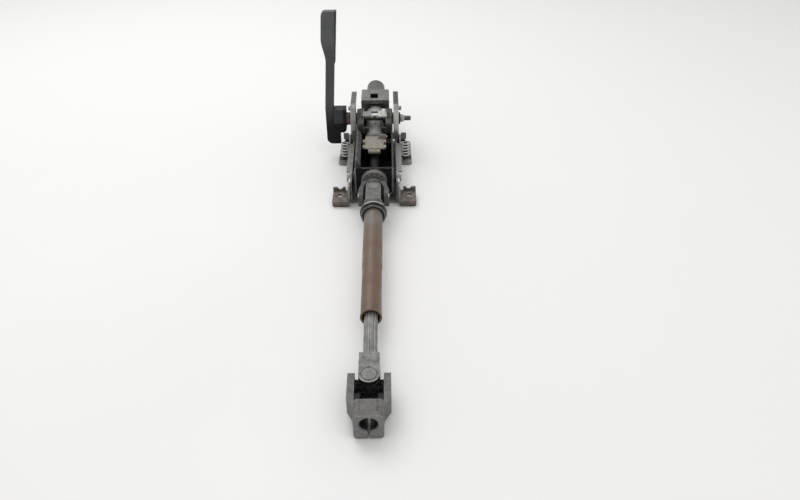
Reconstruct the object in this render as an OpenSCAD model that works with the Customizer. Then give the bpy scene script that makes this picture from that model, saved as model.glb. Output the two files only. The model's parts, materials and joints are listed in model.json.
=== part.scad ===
/* [Column] */
// Rise of the column towards the wheel end, in degrees
column_rise = 3.5; // [3:0.25:4]
// Radial clearance of running fits
run_fit = 0.04; // [0.02:0.01:0.08]
// Radial clearance of parts that are fixed in each other
seat_fit = 0.02; // [0.01:0.01:0.04]
// Gap between flat faces that slide on each other
face_gap = 0.15; // [0.1:0.05:0.3]

/* [Mounting bracket] */
// Thickness of the bracket's sheet
bracket_t = 3; // [2.5:0.1:3.5]
// How far the rails reach in front of the ear holes
bracket_front = 8; // [6:1:12]
// Height of the front rails
rail_h = 40; // [38:0.5:42]
// Width of the lip along the rails
rail_lip = 6.5; // [5:0.1:7.5]
// Clear height between the cam rings and the lip of the towers
tower_margin = 6.5; // [1:0.1:8]
// Width of the lip round the towers
tower_lip = 9; // [8:0.1:10]
// Height of the ribs that stiffen the feet
rib_h = 38; // [34:0.5:38.5]
// Sideways reach of those ribs from the middle
rib_reach = 59.5; // [56:0.5:60]
// Back end of the towers
tower_back = 227; // [222:1:235]
// Back end of the web and the feet
foot_back = 217; // [205:1:225]
// Front end of the feet
foot_front = 123; // [118:1:126]
// How far the feet reach out from the walls
foot_w = 26.5; // [24:0.5:30]
// Radius of the slots in the feet
foot_slot_r = 4.5; // [4:0.1:5]
// Length of the slots in the feet, over their ends
foot_slot_len = 15; // [12:0.5:16]
// Distance of the slots behind the ear holes
foot_slot_y = 172; // [165:1:180]

/* [Ears] */
// Sideways distance of an ear hole from the middle
ear_hole_x = 55.5; // [54:0.5:58]
// Radius of an ear hole
ear_hole_r = 5; // [4:0.25:5.5]
// Sideways reach of an ear from the middle
ear_reach = 67; // [65:0.5:70]
// Height of an ear's underside above the mounting face
ear_z = 7; // [5:0.5:9]
// Thickness of an ear
ear_t = 3; // [2.5:0.1:3.5]
// Reach of an ear in front of its hole
ear_front = 20; // [17:0.5:22]
// Reach of an ear behind its hole
ear_back = 17; // [15:0.5:19]
// Height of the lip at an ear's back edge
ear_lip_h = 7; // [6:0.5:9]
// Radius of the notch in that lip
ear_notch_r = 4; // [3:0.25:4.5]

/* [Box] */
// Outer width of the box
box_w = 62; // [60:0.5:64]
// Thickness of the box's sheet
box_t = 2.5; // [2:0.1:3]
// Front end of the box
box_front = 3.5; // [2:0.5:6]
// Back end of the box
box_back = 212; // [208:1:216]
// Depth of the box below the column axis
box_depth = 29; // [28:0.25:30]
// Height of the box's walls above the column axis
box_rise = 22; // [20:0.5:24]
// Radius of the box's lower corners
box_corner_r = 10; // [7:0.5:12]
// Thickness of the end plate
end_plate_t = 3; // [2.5:0.1:4]
// Radius of the bearing boss
boss_r = 20.5; // [19:0.25:21]
// Reach of the bearing boss in front of the box
boss_reach = 9; // [7:0.5:10]

/* [Tilt pivot] */
// Distance of the tilt pivot behind the ear holes
pivot_y = 14; // [13:0.5:16]
// Height of the tilt pivot, which lies on the column axis
pivot_z = 36; // [35:0.25:37]
// Radius of the pivot pins
pivot_r = 4.5; // [4:0.1:5]
// Radius of the pivot pins' heads
pivot_head_r = 7.5; // [7:0.1:8]
// Free space between the box and a bracket wall
side_gap = 4.5; // [4:0.1:5]
// Tilt away from the mounting face, in degrees
tilt_up = 2; // [1:0.25:2]
// Tilt towards the mounting face, in degrees
tilt_down = 3; // [2:0.25:3]

/* [Springs] */
// Mean radius of a spring's coil
spring_r = 7.5; // [7:0.1:8]
// Radius of the spring wire
wire_r = 1; // [0.8:0.05:1.1]
// Number of coils
spring_coils = 5; // [4:1:6]
// Distance of the coil behind the ear holes
spring_y = 138; // [137:0.25:139]
// Height of the first coil above the mounting face
spring_z = 11; // [10:0.5:12]
// Height of the coil
spring_h = 28; // [26:0.5:29]

/* [Clamp] */
// Distance of the clamp bolt behind the ear holes, along the column
clamp_y = 167; // [165:0.5:169]
// Height of the clamp bolt above the column axis
clamp_rise = 26; // [25.5:0.25:27]
// Radius of the clamp bolt
clamp_r = 4; // [3.5:0.1:4]
// Sideways reach of the bolt's stud end
stud_reach = 63.5; // [60:0.5:68]
// Radius of the washer
washer_r = 10; // [9:0.25:11]
// Thickness of the washer
washer_t = 2.5; // [2:0.1:3]
// Width of the nut across its flats
nut_flats = 13; // [12:0.5:14]
// Thickness of the nut
nut_t = 7.3; // [6:0.1:8]
// Radius of the cam rings
cam_r = 11; // [10:0.25:12]
// Thickness of a cam ring
cam_t = 5.5; // [5:0.1:6]

/* [Lever] */
// Sideways distance of the stem's inner face from the middle
lever_x = 71; // [70:0.5:73]
// Width of the stem
stem_w = 14.5; // [13:0.5:15.5]
// Width of the paddle
paddle_w = 24.5; // [22:0.5:26]
// Lean of the lever towards the middle, in degrees
lever_lean = 4.2; // [0:0.1:5]
// Width of the lever's foot
lever_foot_w = 24; // [21:0.5:25]
// Thickness of the lever
lever_t = 13; // [11:0.5:14]
// Distance from the clamp bolt up to the lever's tip
lever_up = 184; // [178:1:190]
// Distance from the clamp bolt down to the lever's foot
lever_down = 45; // [42:1:48]
// Length of the paddle
paddle_len = 85; // [80:1:92]
// Radius of the hub
hub_r = 12.5; // [12:0.25:13.5]

/* [Jacket] */
// Outer radius of the jacket tube
jacket_r = 17.5; // [17:0.1:18]
// Wall of the jacket tube
jacket_t = 2.5; // [2.2:0.1:2.8]
// Front end of the jacket tube
jacket_front = 84; // [80:1:88]
// Back end of the jacket tube
jacket_back = 351; // [345:1:356]
// Travel of the jacket each way along the column
telescope = 20; // [15:1:20]

/* [Saddle] */
// Height of the saddle above the column axis
saddle_rise = 35; // [34:0.5:37]
// Length of the saddle's bridge
bridge_len = 18; // [16:1:20]
// Thickness of the saddle's cheeks
cheek_t = 9; // [8:0.25:10]
// Width of the notch in the bridge
notch_w = 11; // [9:0.5:13]

/* [Crash strap] */
// Width of the strap
strap_w = 39; // [36:0.5:42]
// Length of the strap
strap_len = 48; // [45:0.5:50]
// Thickness of the strap
strap_t = 2; // [1.6:0.1:2.4]
// Radius of the roller at its front
roller_r = 4; // [3.5:0.1:4.5]

/* [Lock housing] */
// Width of the housing
lock_w = 52; // [50:0.5:54]
// Front face of the housing
lock_front = 232; // [230:0.5:234]
// Length of the housing
lock_len = 47; // [44:0.5:50]
// Height of the housing above the column axis
lock_rise = 30; // [29:0.5:32]
// Outer radius of the housing's ring round the jacket
lock_ring_r = 23; // [22:0.25:24]
// Width of the window
window_w = 14.5; // [13:0.5:16]
// Length of the window
window_len = 20; // [18:0.5:22]

/* [Steering shafts] */
// Radius of the lower steering shaft
shaft_r = 8; // [7.6:0.1:8.4]
// Depth of each flat on the lower steering shaft
shaft_flat = 1.5; // [1:0.1:2]
// Outer radius of the upper steering shaft's tube
upper_shaft_r = 12; // [11.5:0.1:12.5]
// Radius of the upper steering shaft in its bearing
journal_r = 10; // [9.5:0.1:10.5]
// Radius of the steering wheel seat
wheel_seat_r = 8.5; // [8:0.1:9]
// Radius of the threaded end
thread_r = 7; // [6:0.1:7.5]
// Radius of the lower bearing
bearing_r = 14; // [13:0.25:15]

/* [Universal joints] */
// Distance of the upper joint in front of the ear holes, along the column
upper_joint_y = -49; // [-52:0.5:-48]
// Distance of the lower joint in front of the ear holes
lower_joint_y = -421; // [-428:1:-414]
// Height of the lower joint above the mounting face
lower_joint_z = 21.2; // [21:0.1:22]
// Radius of the needle-bearing cups
cup_r = 8; // [7.6:0.1:8.2]
// Radius of the crosses' trunnions
trunnion_r = 6; // [5.5:0.1:6.4]
// Half the width over the upper joint's forks
upper_fork_out = 23.5; // [23:0.1:24]
// Thickness of the upper joint's fork arms
upper_arm_t = 8; // [7.5:0.1:8.5]
// Half the width over the inner shaft's fork
inner_fork_out = 20.5; // [20.2:0.1:20.6]
// Thickness of that fork's arms
inner_arm_t = 7.5; // [7:0.1:7.5]
// Half the width of that fork's arms
inner_arm_r = 11.25; // [10.75:0.25:11.5]
// Half the width of the other forks' arms
arm_r = 12; // [11.5:0.1:12.2]

/* [Intermediate shaft] */
// Outer radius of the tube
tube_r = 13.5; // [13.2:0.1:14]
// Wall of the tube
tube_t = 2.25; // [2:0.05:2.4]
// Step in the tube's radius where it is swaged
tube_step = 0.75; // [0.4:0.05:1]
// Distance from the upper joint to the tube's step
tube_step_at = 172; // [160:1:185]
// Distance from the upper joint to the tube's lower end
tube_end_at = 266; // [260:1:272]
// Outer radius of the tube yoke's cup
yoke_cup_r = 20; // [19.5:0.1:20.5]
// Wall of the tube yoke's cup
yoke_cup_t = 2; // [1.8:0.1:2.4]
// Distance from the upper joint to the rim of that cup
yoke_rim_at = 48; // [46:0.5:52]
// Outer radius of the fluted shaft
inner_r = 8.25; // [8:0.05:8.5]
// Number of flutes
flutes = 12; // [8:1:14]
// Depth of a flute
flute_depth = 0.8; // [0.5:0.05:1]
// Travel of the inner shaft each way in the tube
slip = 25; // [20:1:28]

/* [Pinion yoke] */
// Rise of the pinion yoke towards its mouth, in degrees
yoke_rise = -0.5; // [-1:0.25:3]
// Half the width over its fork
yoke_out = 23; // [22.5:0.1:23.5]
// Thickness of its arms
yoke_arm_t = 7.5; // [7:0.1:8]
// Distance from the joint to its mouth
yoke_len = 51; // [49:0.5:55]
// Half the width of its clamp body
yoke_body_half = 15.5; // [15:0.1:16]
// Radius of its bore
pinion_r = 9.25; // [8.5:0.05:9.5]
// Width of the slit
slit_w = 2.5; // [2:0.1:3]
// Radius of the pinch-bolt hole
pinch_r = 3.75; // [3.5:0.05:4]

/* [Hidden] */
$fn = 64;
eps = 1;

// Widths from the middle outwards
box_out = box_w / 2;
box_in = box_out - box_t;
wall_in = box_out + side_gap;
wall_out = wall_in + bracket_t;
rail_out = wall_out + rail_lip;
foot_out = wall_out + foot_w;
foot_slot_x = wall_out + foot_w / 2 + 2;
foot_root = 8;
foot_corner_r = 6;
lip_gap = 1;
tower_lip_in = wall_in - 2.5;
rib_gap = 2;
ear_gap = 1.5;
ear_corner_r = 3;
ear_lip_in = 8;

// Holes in the bracket's web
web_rim = 13.5;
web_bar = 20;
web_hole_r = 8;
web_hole_half = wall_in - web_rim;
web_front_from = 4 * web_hole_r + bracket_front;
web_front_to = foot_front + 2 * web_hole_r;
web_back_from = web_front_to + web_bar;
web_back_to = foot_back - web_bar;

// Heights along the column, before its rise
axis_z = pivot_z;
clamp_z = axis_z + clamp_rise;
box_base = axis_z - box_depth;
box_floor = box_base + box_t;
box_top = axis_z + box_rise;
box_tower_rise = 11;
box_tower_half = 16;
box_tower_root = 38;
box_tower = clamp_z + box_tower_rise;
guide_rise = 9;
guide_top = axis_z + guide_rise;
guide_inset = 4;
front_guide_len = 16;
rear_guide_len = 22;
end_plate_back = box_front + end_plate_t;
boss_front = box_front - boss_reach;
boss_bore_r = bearing_r + seat_fit;
boss_lip = 1.5;
boss_eye_r = shaft_r + 3;
pin_inset = 1;
pivot_head_t = 5;
spacer_rim = 1.5;
clamp_top = tilted([clamp_y, clamp_z], column_rise + tilt_up)[1];
tower_h = clamp_top + max(cam_r, washer_r) + tower_margin + bracket_t;
tower_heel = rail_h * 1.5;

// Spring bar and spring hooks
hook_r = 4.5;
foot_hook_r = 3.5;
hook_gap = 5.5;
hook_slack = 0.7;
hook_lift = 0.35;
hook_x = wall_out + hook_gap;
spring_x = hook_x + spring_r;
spring_top = spring_z + spring_h;
bend_r = 2;
tab_half = 4.5;
tab_t = 2.6;
tab_rise = 5;
arm_t = 3;
arm_end = 3.5;
arm_drop = 2.5;
arm_rise = 9;
arm_notch_d = 4;
arm_mid = spring_y + bend_r + hook_r;
arm_front = arm_mid - arm_t / 2;
arm_back = arm_mid + arm_t / 2;
arm_reach = spring_x + arm_end;
arm_low = axis_z - arm_drop;
arm_top = axis_z + arm_rise;
arm_notch_z = arm_top - arm_notch_d;
hook_room = sqrt(pow(hook_r - wire_r, 2) - pow(arm_t / 2, 2));
hook_z = tilted([arm_mid, arm_notch_z], column_rise)[1] - hook_room + hook_lift;
gate_before = 8;
gate_after = 2;
gate_d = 11;
gate_front = arm_front - gate_before;
gate_back = arm_back + gate_after;
gate_h = rail_h - gate_d;
pivot_lug_r = pivot_head_r + bracket_t;

// Clamp stack from the walls outwards
hole_slack = 0.25;
slot_slack = 0.5;
slot_turn = 0.2;
clamp_hole_r = clamp_r + hole_slack;
slot_r = clamp_r + slot_slack;
washer_in = wall_out + face_gap;
nut_in = washer_in + washer_t;
cam_in = wall_out + face_gap;
moving_in = cam_in + cam_t + face_gap;
hub_in = moving_in + cam_t;
head_r = 6.5;
head_t = 6;
head_recess = 0.8;
head_slack = 0.4;
head_in = lever_x - head_t - head_recess;
hub_side = 2;
hub_low = 22;
hub_high = 20;
stem_out = lever_x + stem_w;
paddle_step = 1.5;
paddle_swell = 40;
paddle_swell_steps = 10;
lean_from = hub_high + 2;
hub_corner_r = 7;
paddle_out = lever_x + paddle_w - paddle_step;

// Jacket and its contents
jacket_in = jacket_r - jacket_t;
slide_gap = 0.3;
jacket_fit = 0.05;
saddle_half = box_in - slide_gap;
cheek_in = saddle_half - cheek_t;
cheek_end = 6;
cheek_len = 2 * (telescope + slot_r + cheek_end);
cheek_low = guide_top + 1;
cheek_step = 3;
bridge_half = saddle_half - 4.5;
web_in = 11;
boss_x = 15.5;
boss_h = 8;
boss_foot_r = 8;
boss_top_r = 3;
cheek_corner_r = 4;
bar_inset = 4;
bar_t = 6;
notch_back = 1;
strap_front = jacket_front - 13;
strap_back = strap_front + strap_len;
jacket_ribs = 2;
jacket_rib_pitch = 15;
jacket_rib_w = 2.2;
jacket_rib_h = 0.8;
jacket_rib_gap = 3;
jacket_rib_back = clamp_y + bridge_len;
strap_z = axis_z + jacket_r + jacket_fit;
lock_back = lock_front + lock_len;
lock_step = 7;
lock_lip = 7;
lock_skirt = 6;
lock_corner_r = 3;
window_inset = 9;
window_shift = 2;
window_front = lock_front + window_inset;
bearing_inset = 4;
upper_bearing_len = 14;
upper_bearing_back = jacket_back - bearing_inset;
upper_bearing_front = upper_bearing_back - upper_bearing_len;
shaft_stub = 20;
shaft_end = jacket_back + shaft_stub;
thread_len = 6;
journal_lap = 2;
socket_inset = 16;
socket_front = jacket_front + socket_inset;
flat_start = socket_front - telescope - 6;
flat_grip = 40;
lower_shaft_end = socket_front + telescope + flat_grip;
socket_spare = 8;
socket_end = lower_shaft_end + telescope + socket_spare;
collar_lap = 4;
collar_rim = 3;
collar_notch_w = 6;
collar_floor = 0.9;
collar_gap = 0.5;
collar_front = window_front - collar_lap;
collar_len = window_len + 2 * collar_rim;
bush_inset = 22;
bush_len = 16;
bush_front = jacket_front + bush_inset;
groove_gap = 0.5;
groove_w = 1.6;
groove_d = 0.8;
ring_slack = 0.1;
ring_rim = 2.5;
ring_groove_y = end_plate_back + groove_gap;

// Universal joints
upper_joint_z = axis_z;
upper_arm_in = upper_fork_out - upper_arm_t;
upper_base = 25;
upper_base_t = 8;
upper_hoop_r = 16.5;
upper_arm_root = 8;
upper_arm_bend = 14;
cap_t = 3.5;
cap_gap = 0.3;
neck_t = 3;
neck_len = 4;
upper_cross_half = upper_fork_out - cap_t - cap_gap;
inner_arm_in = inner_fork_out - inner_arm_t;
inner_base = 22;
inner_base_t = 8;
inner_taper = 6;
inner_lip = 2;
inner_neck = inner_r + 2;
inner_cross_half = inner_fork_out - cap_t - cap_gap;
yoke_arm_in = yoke_out - yoke_arm_t;
yoke_cross_half = yoke_out - cap_t - cap_gap;
yoke_base = 29;
yoke_tip = 10.5;
yoke_tip_r = 4;
cross_body_r = 9;

// Line of the intermediate shaft, from the upper joint to the lower one
upper_joint = tilted([upper_joint_y, upper_joint_z], column_rise);
lower_joint = [lower_joint_y, lower_joint_z];
shaft_slope = atan2(upper_joint[1] - lower_joint[1], upper_joint[0] - lower_joint[0]);
shaft_len = norm(upper_joint - lower_joint);
tube_in = tube_r - tube_t;
yoke_snout_r = yoke_cup_r - 1.8;
yoke_cup_in = yoke_snout_r - yoke_cup_t;
yoke_land = 3;
yoke_neck_at = 22.5;
yoke_neck_r = 14;
yoke_shoulder_at = 37;
yoke_arm_r = arm_r - 1;
yoke_cup_floor = 36;
tube_start = yoke_cup_floor + 1;
tube_bore_at = 105;
swage_len = 3;
flare = 0.6;
flare_in = 0.55;
sleeve_end_at = tube_end_at - 10;
sleeve_len = 45;
inner_lap = 120;
inner_start_at = tube_end_at - inner_lap;
groove_r = 1.6;
spline_fit = 0.1;
inner_shoulder = 1.25;
inner_seat_r = inner_r - inner_shoulder;
inner_seat_at = shaft_len - inner_base - inner_base_t - inner_taper;

// Pinion yoke
body_top = 14;
lug_drop = 19.5;
pinch_wall = 0.5;
pinch_drop = pinion_r + pinch_r + pinch_wall;
mouth_chamfer = 1.75;
body_corner_r = 4;
taper_before = 4;
taper_after = 8;

// A point of the side view, turned about the tilt pivot
function tilted(p, angle) = [
    pivot_y + (p[0] - pivot_y) * cos(angle) - (p[1] - pivot_z) * sin(angle),
    pivot_z + (p[0] - pivot_y) * sin(angle) + (p[1] - pivot_z) * cos(angle)
];

module on_column() {
    translate([0, pivot_y, pivot_z]) rotate([column_rise, 0, 0])
        translate([0, -pivot_y, -pivot_z]) children();
}

module on_column_axis() {
    on_column() translate([0, 0, axis_z]) children();
}

module at_upper_joint() {
    on_column_axis() translate([0, upper_joint_y, 0]) children();
}

module on_shaft() {
    translate([0, upper_joint[0], upper_joint[1]]) rotate([shaft_slope, 0, 0]) children();
}

module at_lower_joint() {
    on_shaft() translate([0, -shaft_len, 0]) children();
}

module on_pinion_yoke() {
    translate([0, lower_joint[0], lower_joint[1]]) rotate([-yoke_rise, 0, 0]) children();
}

module both_sides() {
    children();
    mirror([1, 0, 0]) children();
}

module block(from, to) {
    translate(from) cube(to - from);
}

module rod_x(x0, x1, r) {
    translate([x0, 0, 0]) rotate([0, 90, 0]) cylinder(h = x1 - x0, r = r);
}

module rod_y(y0, y1, r) {
    translate([0, y0, 0]) rotate([-90, 0, 0]) cylinder(h = y1 - y0, r = r);
}

module ring_y(y0, y1, outer, inner) {
    difference() {
        rod_y(y0, y1, outer);
        rod_y(y0 - eps, y1 + eps, inner);
    }
}

module ring_x(x0, x1, outer, inner) {
    difference() {
        rod_x(x0, x1, outer);
        rod_x(x0 - eps, x1 + eps, inner);
    }
}

// A side-view outline, extruded sideways
module side_plate(x0, x1) {
    translate([x0, 0, 0]) rotate([90, 0, 90]) linear_extrude(x1 - x0) children();
}

// A front-view outline, extruded along the column
module front_plate(y0, y1) {
    translate([0, y1, 0]) rotate([90, 0, 0]) linear_extrude(y1 - y0) children();
}

// A slot between two points of an outline
module slot_outline(p, q, r) {
    along = (q - p) / norm(q - p);
    across = [-along[1], along[0]] * r;
    translate(p) circle(r);
    translate(q) circle(r);
    polygon([p + across, q + across, q - across, p - across]);
}

// A plate outline with rounded corners
module rounded_outline(from, to, r) {
    translate(from + [r, 0]) square(to - from - [2 * r, 0]);
    translate(from + [0, r]) square(to - from - [0, 2 * r]);
    for (x = [from[0] + r, to[0] - r], y = [from[1] + r, to[1] - r]) translate([x, y]) circle(r);
}

// Half of the bracket: wall, lip, foot and spring tab
module wall_outline() {
    polygon([
        [-bracket_front, 0], [-bracket_front, rail_h], [gate_front, rail_h], [gate_front, gate_h],
        [gate_back, gate_h], [gate_back, tower_h], [tower_back, tower_h], [tower_back, tower_heel],
        [foot_back, 0]
    ]);
    translate([pivot_y, pivot_z]) circle(pivot_lug_r);
}

module lip_outline() {
    lip_front = pivot_y + pivot_lug_r + lip_gap;
    lip_back = spring_y - spring_r - wire_r - lip_gap;
    translate([lip_front, rail_h - bracket_t]) square([lip_back - lip_front, bracket_t]);
}

module tower_lip_outline() {
    lip_low = rail_h + 2 * bracket_t;
    translate([gate_back, lip_low]) square([bracket_t, tower_h - lip_low]);
    translate([gate_back, tower_h - bracket_t]) square([tower_back - gate_back, bracket_t]);
}

// A rib between a tower and its foot, behind the spring
module foot_rib() {
    rib_front = arm_mid + hook_r + wire_r + rib_gap;
    front_plate(rib_front, rib_front + bracket_t) polygon([
        [wall_out - eps, 0], [wall_out - eps, rib_h],
        [spring_x, rib_h], [rib_reach, rib_h * 2 / 3], [rib_reach, 0]
    ]);
}

module foot() {
    slot_half = [foot_slot_len / 2 - foot_slot_r, 0];
    slot_mid = [foot_slot_x, foot_slot_y];
    difference() {
        linear_extrude(bracket_t) union() {
            rounded_outline([wall_out - foot_root, foot_front], [foot_out, foot_back], foot_corner_r);
            translate([wall_in, foot_front]) square([bracket_t, foot_back - foot_front]);
        }
        translate([0, 0, -eps]) linear_extrude(bracket_t + 2 * eps)
            slot_outline(slot_mid - slot_half, slot_mid + slot_half, foot_slot_r);
    }
}

module spring_tab() {
    tab_y = spring_y - bend_r - foot_hook_r;
    tab_z = spring_z - bend_r - foot_hook_r;
    difference() {
        block([hook_x - tab_half, tab_y - tab_t / 2, 0],
            [hook_x + tab_half, tab_y + tab_t / 2, tab_z + tab_rise]);
        translate([hook_x, tab_y, tab_z]) rod_y(-tab_t, tab_t, wire_r + hook_slack);
    }
}

module tilt_slot_outline() {
    rest = [clamp_y, clamp_z];
    low = tilted(rest, column_rise - tilt_down - slot_turn);
    high = tilted(rest, column_rise + tilt_up + slot_turn);
    slot_outline(low, high, slot_r);
}

module mounting_bracket() {
    color("silver") difference() {
        union() {
            block([-wall_out, -bracket_front, 0], [wall_out, foot_back, bracket_t]);
            both_sides() {
                side_plate(wall_in, wall_out) difference() {
                    wall_outline();
                    tilt_slot_outline();
                }
                side_plate(wall_in, rail_out) lip_outline();
                side_plate(tower_lip_in, tower_lip_in + tower_lip) tower_lip_outline();
                foot();
                foot_rib();
                spring_tab();
            }
        }
        both_sides() translate([0, pivot_y, pivot_z])
            rod_x(wall_in - eps, wall_out + eps, pivot_r + seat_fit);
        translate([0, 0, -eps]) linear_extrude(bracket_t + 2 * eps) {
            rounded_outline([-web_hole_half, web_front_from], [web_hole_half, web_front_to], web_hole_r);
            rounded_outline([-web_hole_half, web_back_from], [web_hole_half, web_back_to], web_hole_r);
        }
    }
}

module ear() {
    leg_back = pivot_y - pivot_head_r - ear_gap;
    lip_top = ear_z + ear_t + ear_lip_h;
    plate_in = [wall_out, -ear_front];
    plate_end = [ear_reach, ear_back];
    difference() {
        union() {
            translate([0, 0, ear_z]) linear_extrude(ear_t) union() {
                rounded_outline(plate_in, plate_end, ear_corner_r);
                translate(plate_in) square([2 * ear_corner_r, ear_front + ear_back]);
            }
            block([wall_out, -ear_front, ear_z],
                [wall_out + ear_t, leg_back, rail_h - bracket_t - lip_gap]);
            block([wall_out + ear_lip_in, ear_back - ear_t, ear_z], [ear_reach, ear_back, lip_top]);
        }
        translate([ear_hole_x, 0, 0]) cylinder(h = rail_h, r = ear_hole_r);
        translate([ear_hole_x, 0, lip_top]) rod_y(ear_back - ear_t - eps, ear_back + eps, ear_notch_r);
    }
}

module left_ear() {
    color("dimgray") mirror([1, 0, 0]) ear();
}

module right_ear() {
    color("dimgray") ear();
}

module pivot_pins() {
    color("lightgray") both_sides() translate([0, pivot_y, pivot_z]) {
        rod_x(box_in - pin_inset, wall_out + eps, pivot_r);
        rod_x(wall_out, wall_out + pivot_head_t, pivot_head_r);
    }
}

// Wire path of the right spring: foot hook, bend, coils, bend, arm hook
function foot_hook(a) = [
    hook_x,
    spring_y - bend_r - foot_hook_r + foot_hook_r * cos(a),
    spring_z - bend_r + foot_hook_r * sin(a)
];
function low_bend(a) = [hook_x, spring_y - bend_r * cos(a), spring_z - bend_r + bend_r * sin(a)];
function coil(turn) = [
    spring_x - spring_r * cos(360 * turn),
    spring_y + spring_r * sin(360 * turn),
    spring_z + spring_h * turn / spring_coils
];
function top_bend(a) = [hook_x, spring_y + bend_r * sin(a), spring_top + bend_r - bend_r * cos(a)];
function arm_hook(a) = [
    hook_x,
    spring_y + bend_r + hook_r - hook_r * cos(a),
    hook_z + hook_r * sin(a)
];

coil_steps = 14;
wire_sides = 8;
wire_path = concat(
    [for (a = [180:30:330]) foot_hook(a)],
    [for (a = [0:30:60]) low_bend(a)],
    [for (i = [0:spring_coils * coil_steps]) coil(i / coil_steps)],
    [for (a = [30:30:90]) top_bend(a)],
    [for (a = [0:30:210]) arm_hook(a)]
);

// Direction from the coil's middle while the wire coils, and sideways in the hooks
function wire_side(p) =
    abs(p[0] - hook_x) < 0.001
        ? [-1, 0, 0]
        : [p[0] - spring_x, p[1] - spring_y, 0] / norm([p[0] - spring_x, p[1] - spring_y, 0]);
function wire_along(path, i) =
    let (step = path[min(i + 1, len(path) - 1)] - path[max(i - 1, 0)]) step / norm(step);
function wire_ring(path, i) =
    let (
        along = wire_along(path, i),
        side = wire_side(path[i]),
        up = cross(side, along) / norm(cross(side, along)),
        out = cross(along, up)
    )
    [for (k = [0:wire_sides - 1])
        path[i] + wire_r * (cos(360 * k / wire_sides) * out + sin(360 * k / wire_sides) * up)];

module spring_wire() {
    rings = len(wire_path);
    last = (rings - 1) * wire_sides;
    polyhedron(
        [for (i = [0:rings - 1], p = wire_ring(wire_path, i)) p],
        concat(
            [[for (k = [0:wire_sides - 1]) k]],
            [for (i = [0:rings - 2], k = [0:wire_sides - 1])
                let (a = i * wire_sides + k, b = i * wire_sides + (k + 1) % wire_sides)
                [a, a + wire_sides, b + wire_sides, b]],
            [[for (k = [wire_sides - 1:-1:0]) last + k]]
        )
    );
}

module left_balance_spring() {
    color("gray") mirror([1, 0, 0]) spring_wire();
}

module right_balance_spring() {
    color("gray") spring_wire();
}

// Front view of the channel, open at the top
module channel_outline(half, low, corner) {
    translate([-half, low + corner]) square([2 * half, box_top - low - corner]);
    translate([corner - half, low]) square([2 * (half - corner), corner + eps]);
    for (x = [corner - half, half - corner]) translate([x, low + corner]) circle(corner);
}

module box_channel() {
    color("darkslategray") on_column() difference() {
        union() {
            front_plate(box_front, box_back) difference() {
                channel_outline(box_out, box_base, box_corner_r);
                channel_outline(box_in, box_floor, box_corner_r - box_t);
                translate([-box_in, box_top - eps]) square([2 * box_in, 2 * eps]);
            }
            both_sides() side_plate(box_in, box_out) polygon([
                [clamp_y - box_tower_root, box_top - eps], [clamp_y - box_tower_half, box_tower],
                [clamp_y + box_tower_half, box_tower], [clamp_y + box_tower_root, box_top - eps]
            ]);
        }
        both_sides() {
            translate([0, clamp_y, clamp_z]) rod_x(box_in - eps, box_out + eps, clamp_hole_r);
            translate([0, pivot_y, pivot_z]) rod_x(box_in - eps, box_out + eps, pivot_r + run_fit);
        }
    }
}

module end_plate() {
    color("dimgray") on_column() difference() {
        union() {
            front_plate(box_front, end_plate_back)
                channel_outline(box_in - seat_fit, box_floor + seat_fit, box_corner_r - box_t);
            translate([0, 0, axis_z]) rod_y(boss_front, end_plate_back, boss_r);
        }
        translate([0, 0, axis_z]) {
            rod_y(boss_front + boss_lip, end_plate_back + eps, boss_bore_r);
            rod_y(boss_front - eps, end_plate_back, boss_eye_r);
        }
    }
}

module lower_bearing() {
    color("lightsteelblue") on_column_axis()
        ring_y(boss_front + boss_lip + seat_fit, end_plate_back, bearing_r, shaft_r + run_fit);
}

module pivot_spacers() {
    color("gray") on_column() both_sides() translate([0, pivot_y, pivot_z])
        ring_x(box_out, wall_in - face_gap, pivot_head_r + spacer_rim, pivot_r + run_fit);
}

module spring_arms() {
    color("darkslategray") on_column() both_sides() difference() {
        block([box_out, arm_front, arm_low], [arm_reach, arm_back, arm_top]);
        block([hook_x - 2 * wire_r, arm_front - eps, arm_notch_z],
            [hook_x + 2 * wire_r, arm_back + eps, arm_top + eps]);
    }
}

// A cradle in the box that holds the jacket past its middle
module jacket_guide(y0, y1) {
    on_column() difference() {
        front_plate(y0, y1) intersection() {
            channel_outline(box_in - seat_fit, box_floor + seat_fit, box_corner_r - box_t);
            translate([-box_in, box_floor]) square([2 * box_in, guide_top - box_floor]);
        }
        translate([0, 0, axis_z]) rod_y(y0 - eps, y1 + eps, jacket_r + run_fit);
    }
}

module front_guide() {
    guide_front = jacket_front + telescope + guide_inset;
    color("black") jacket_guide(guide_front, guide_front + front_guide_len);
}

module rear_guide() {
    guide_back = box_back - guide_inset;
    color("black") jacket_guide(guide_back - rear_guide_len, guide_back);
}

module at_clamp() {
    on_column() translate([0, clamp_y, clamp_z]) children();
}

module clamp_spacers() {
    color("gray") at_clamp() both_sides() ring_x(box_out, wall_in - face_gap, washer_r, clamp_hole_r);
}

module clamp_bolt() {
    color("silver") at_clamp() {
        rod_x(-head_in - eps, stud_reach, clamp_r);
        rod_x(-head_in - head_t, -head_in, head_r);
    }
}

module clamp_washer() {
    color("lightgray") at_clamp() ring_x(washer_in, nut_in, washer_r, clamp_r + run_fit);
}

module clamp_nut() {
    color("lightgray") at_clamp() difference() {
        translate([nut_in, 0, 0]) rotate([0, 90, 0])
            cylinder(h = nut_t, r = nut_flats / 2 / cos(30), $fn = 6);
        rod_x(nut_in - eps, nut_in + nut_t + eps, clamp_r + seat_fit);
    }
}

module fixed_cam() {
    color("sienna") at_clamp() ring_x(-cam_in - cam_t, -cam_in, cam_r, clamp_hole_r);
}

module moving_cam() {
    color("gray") at_clamp() ring_x(-moving_in - cam_t, -moving_in, cam_r, clamp_r + run_fit);
}

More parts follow.
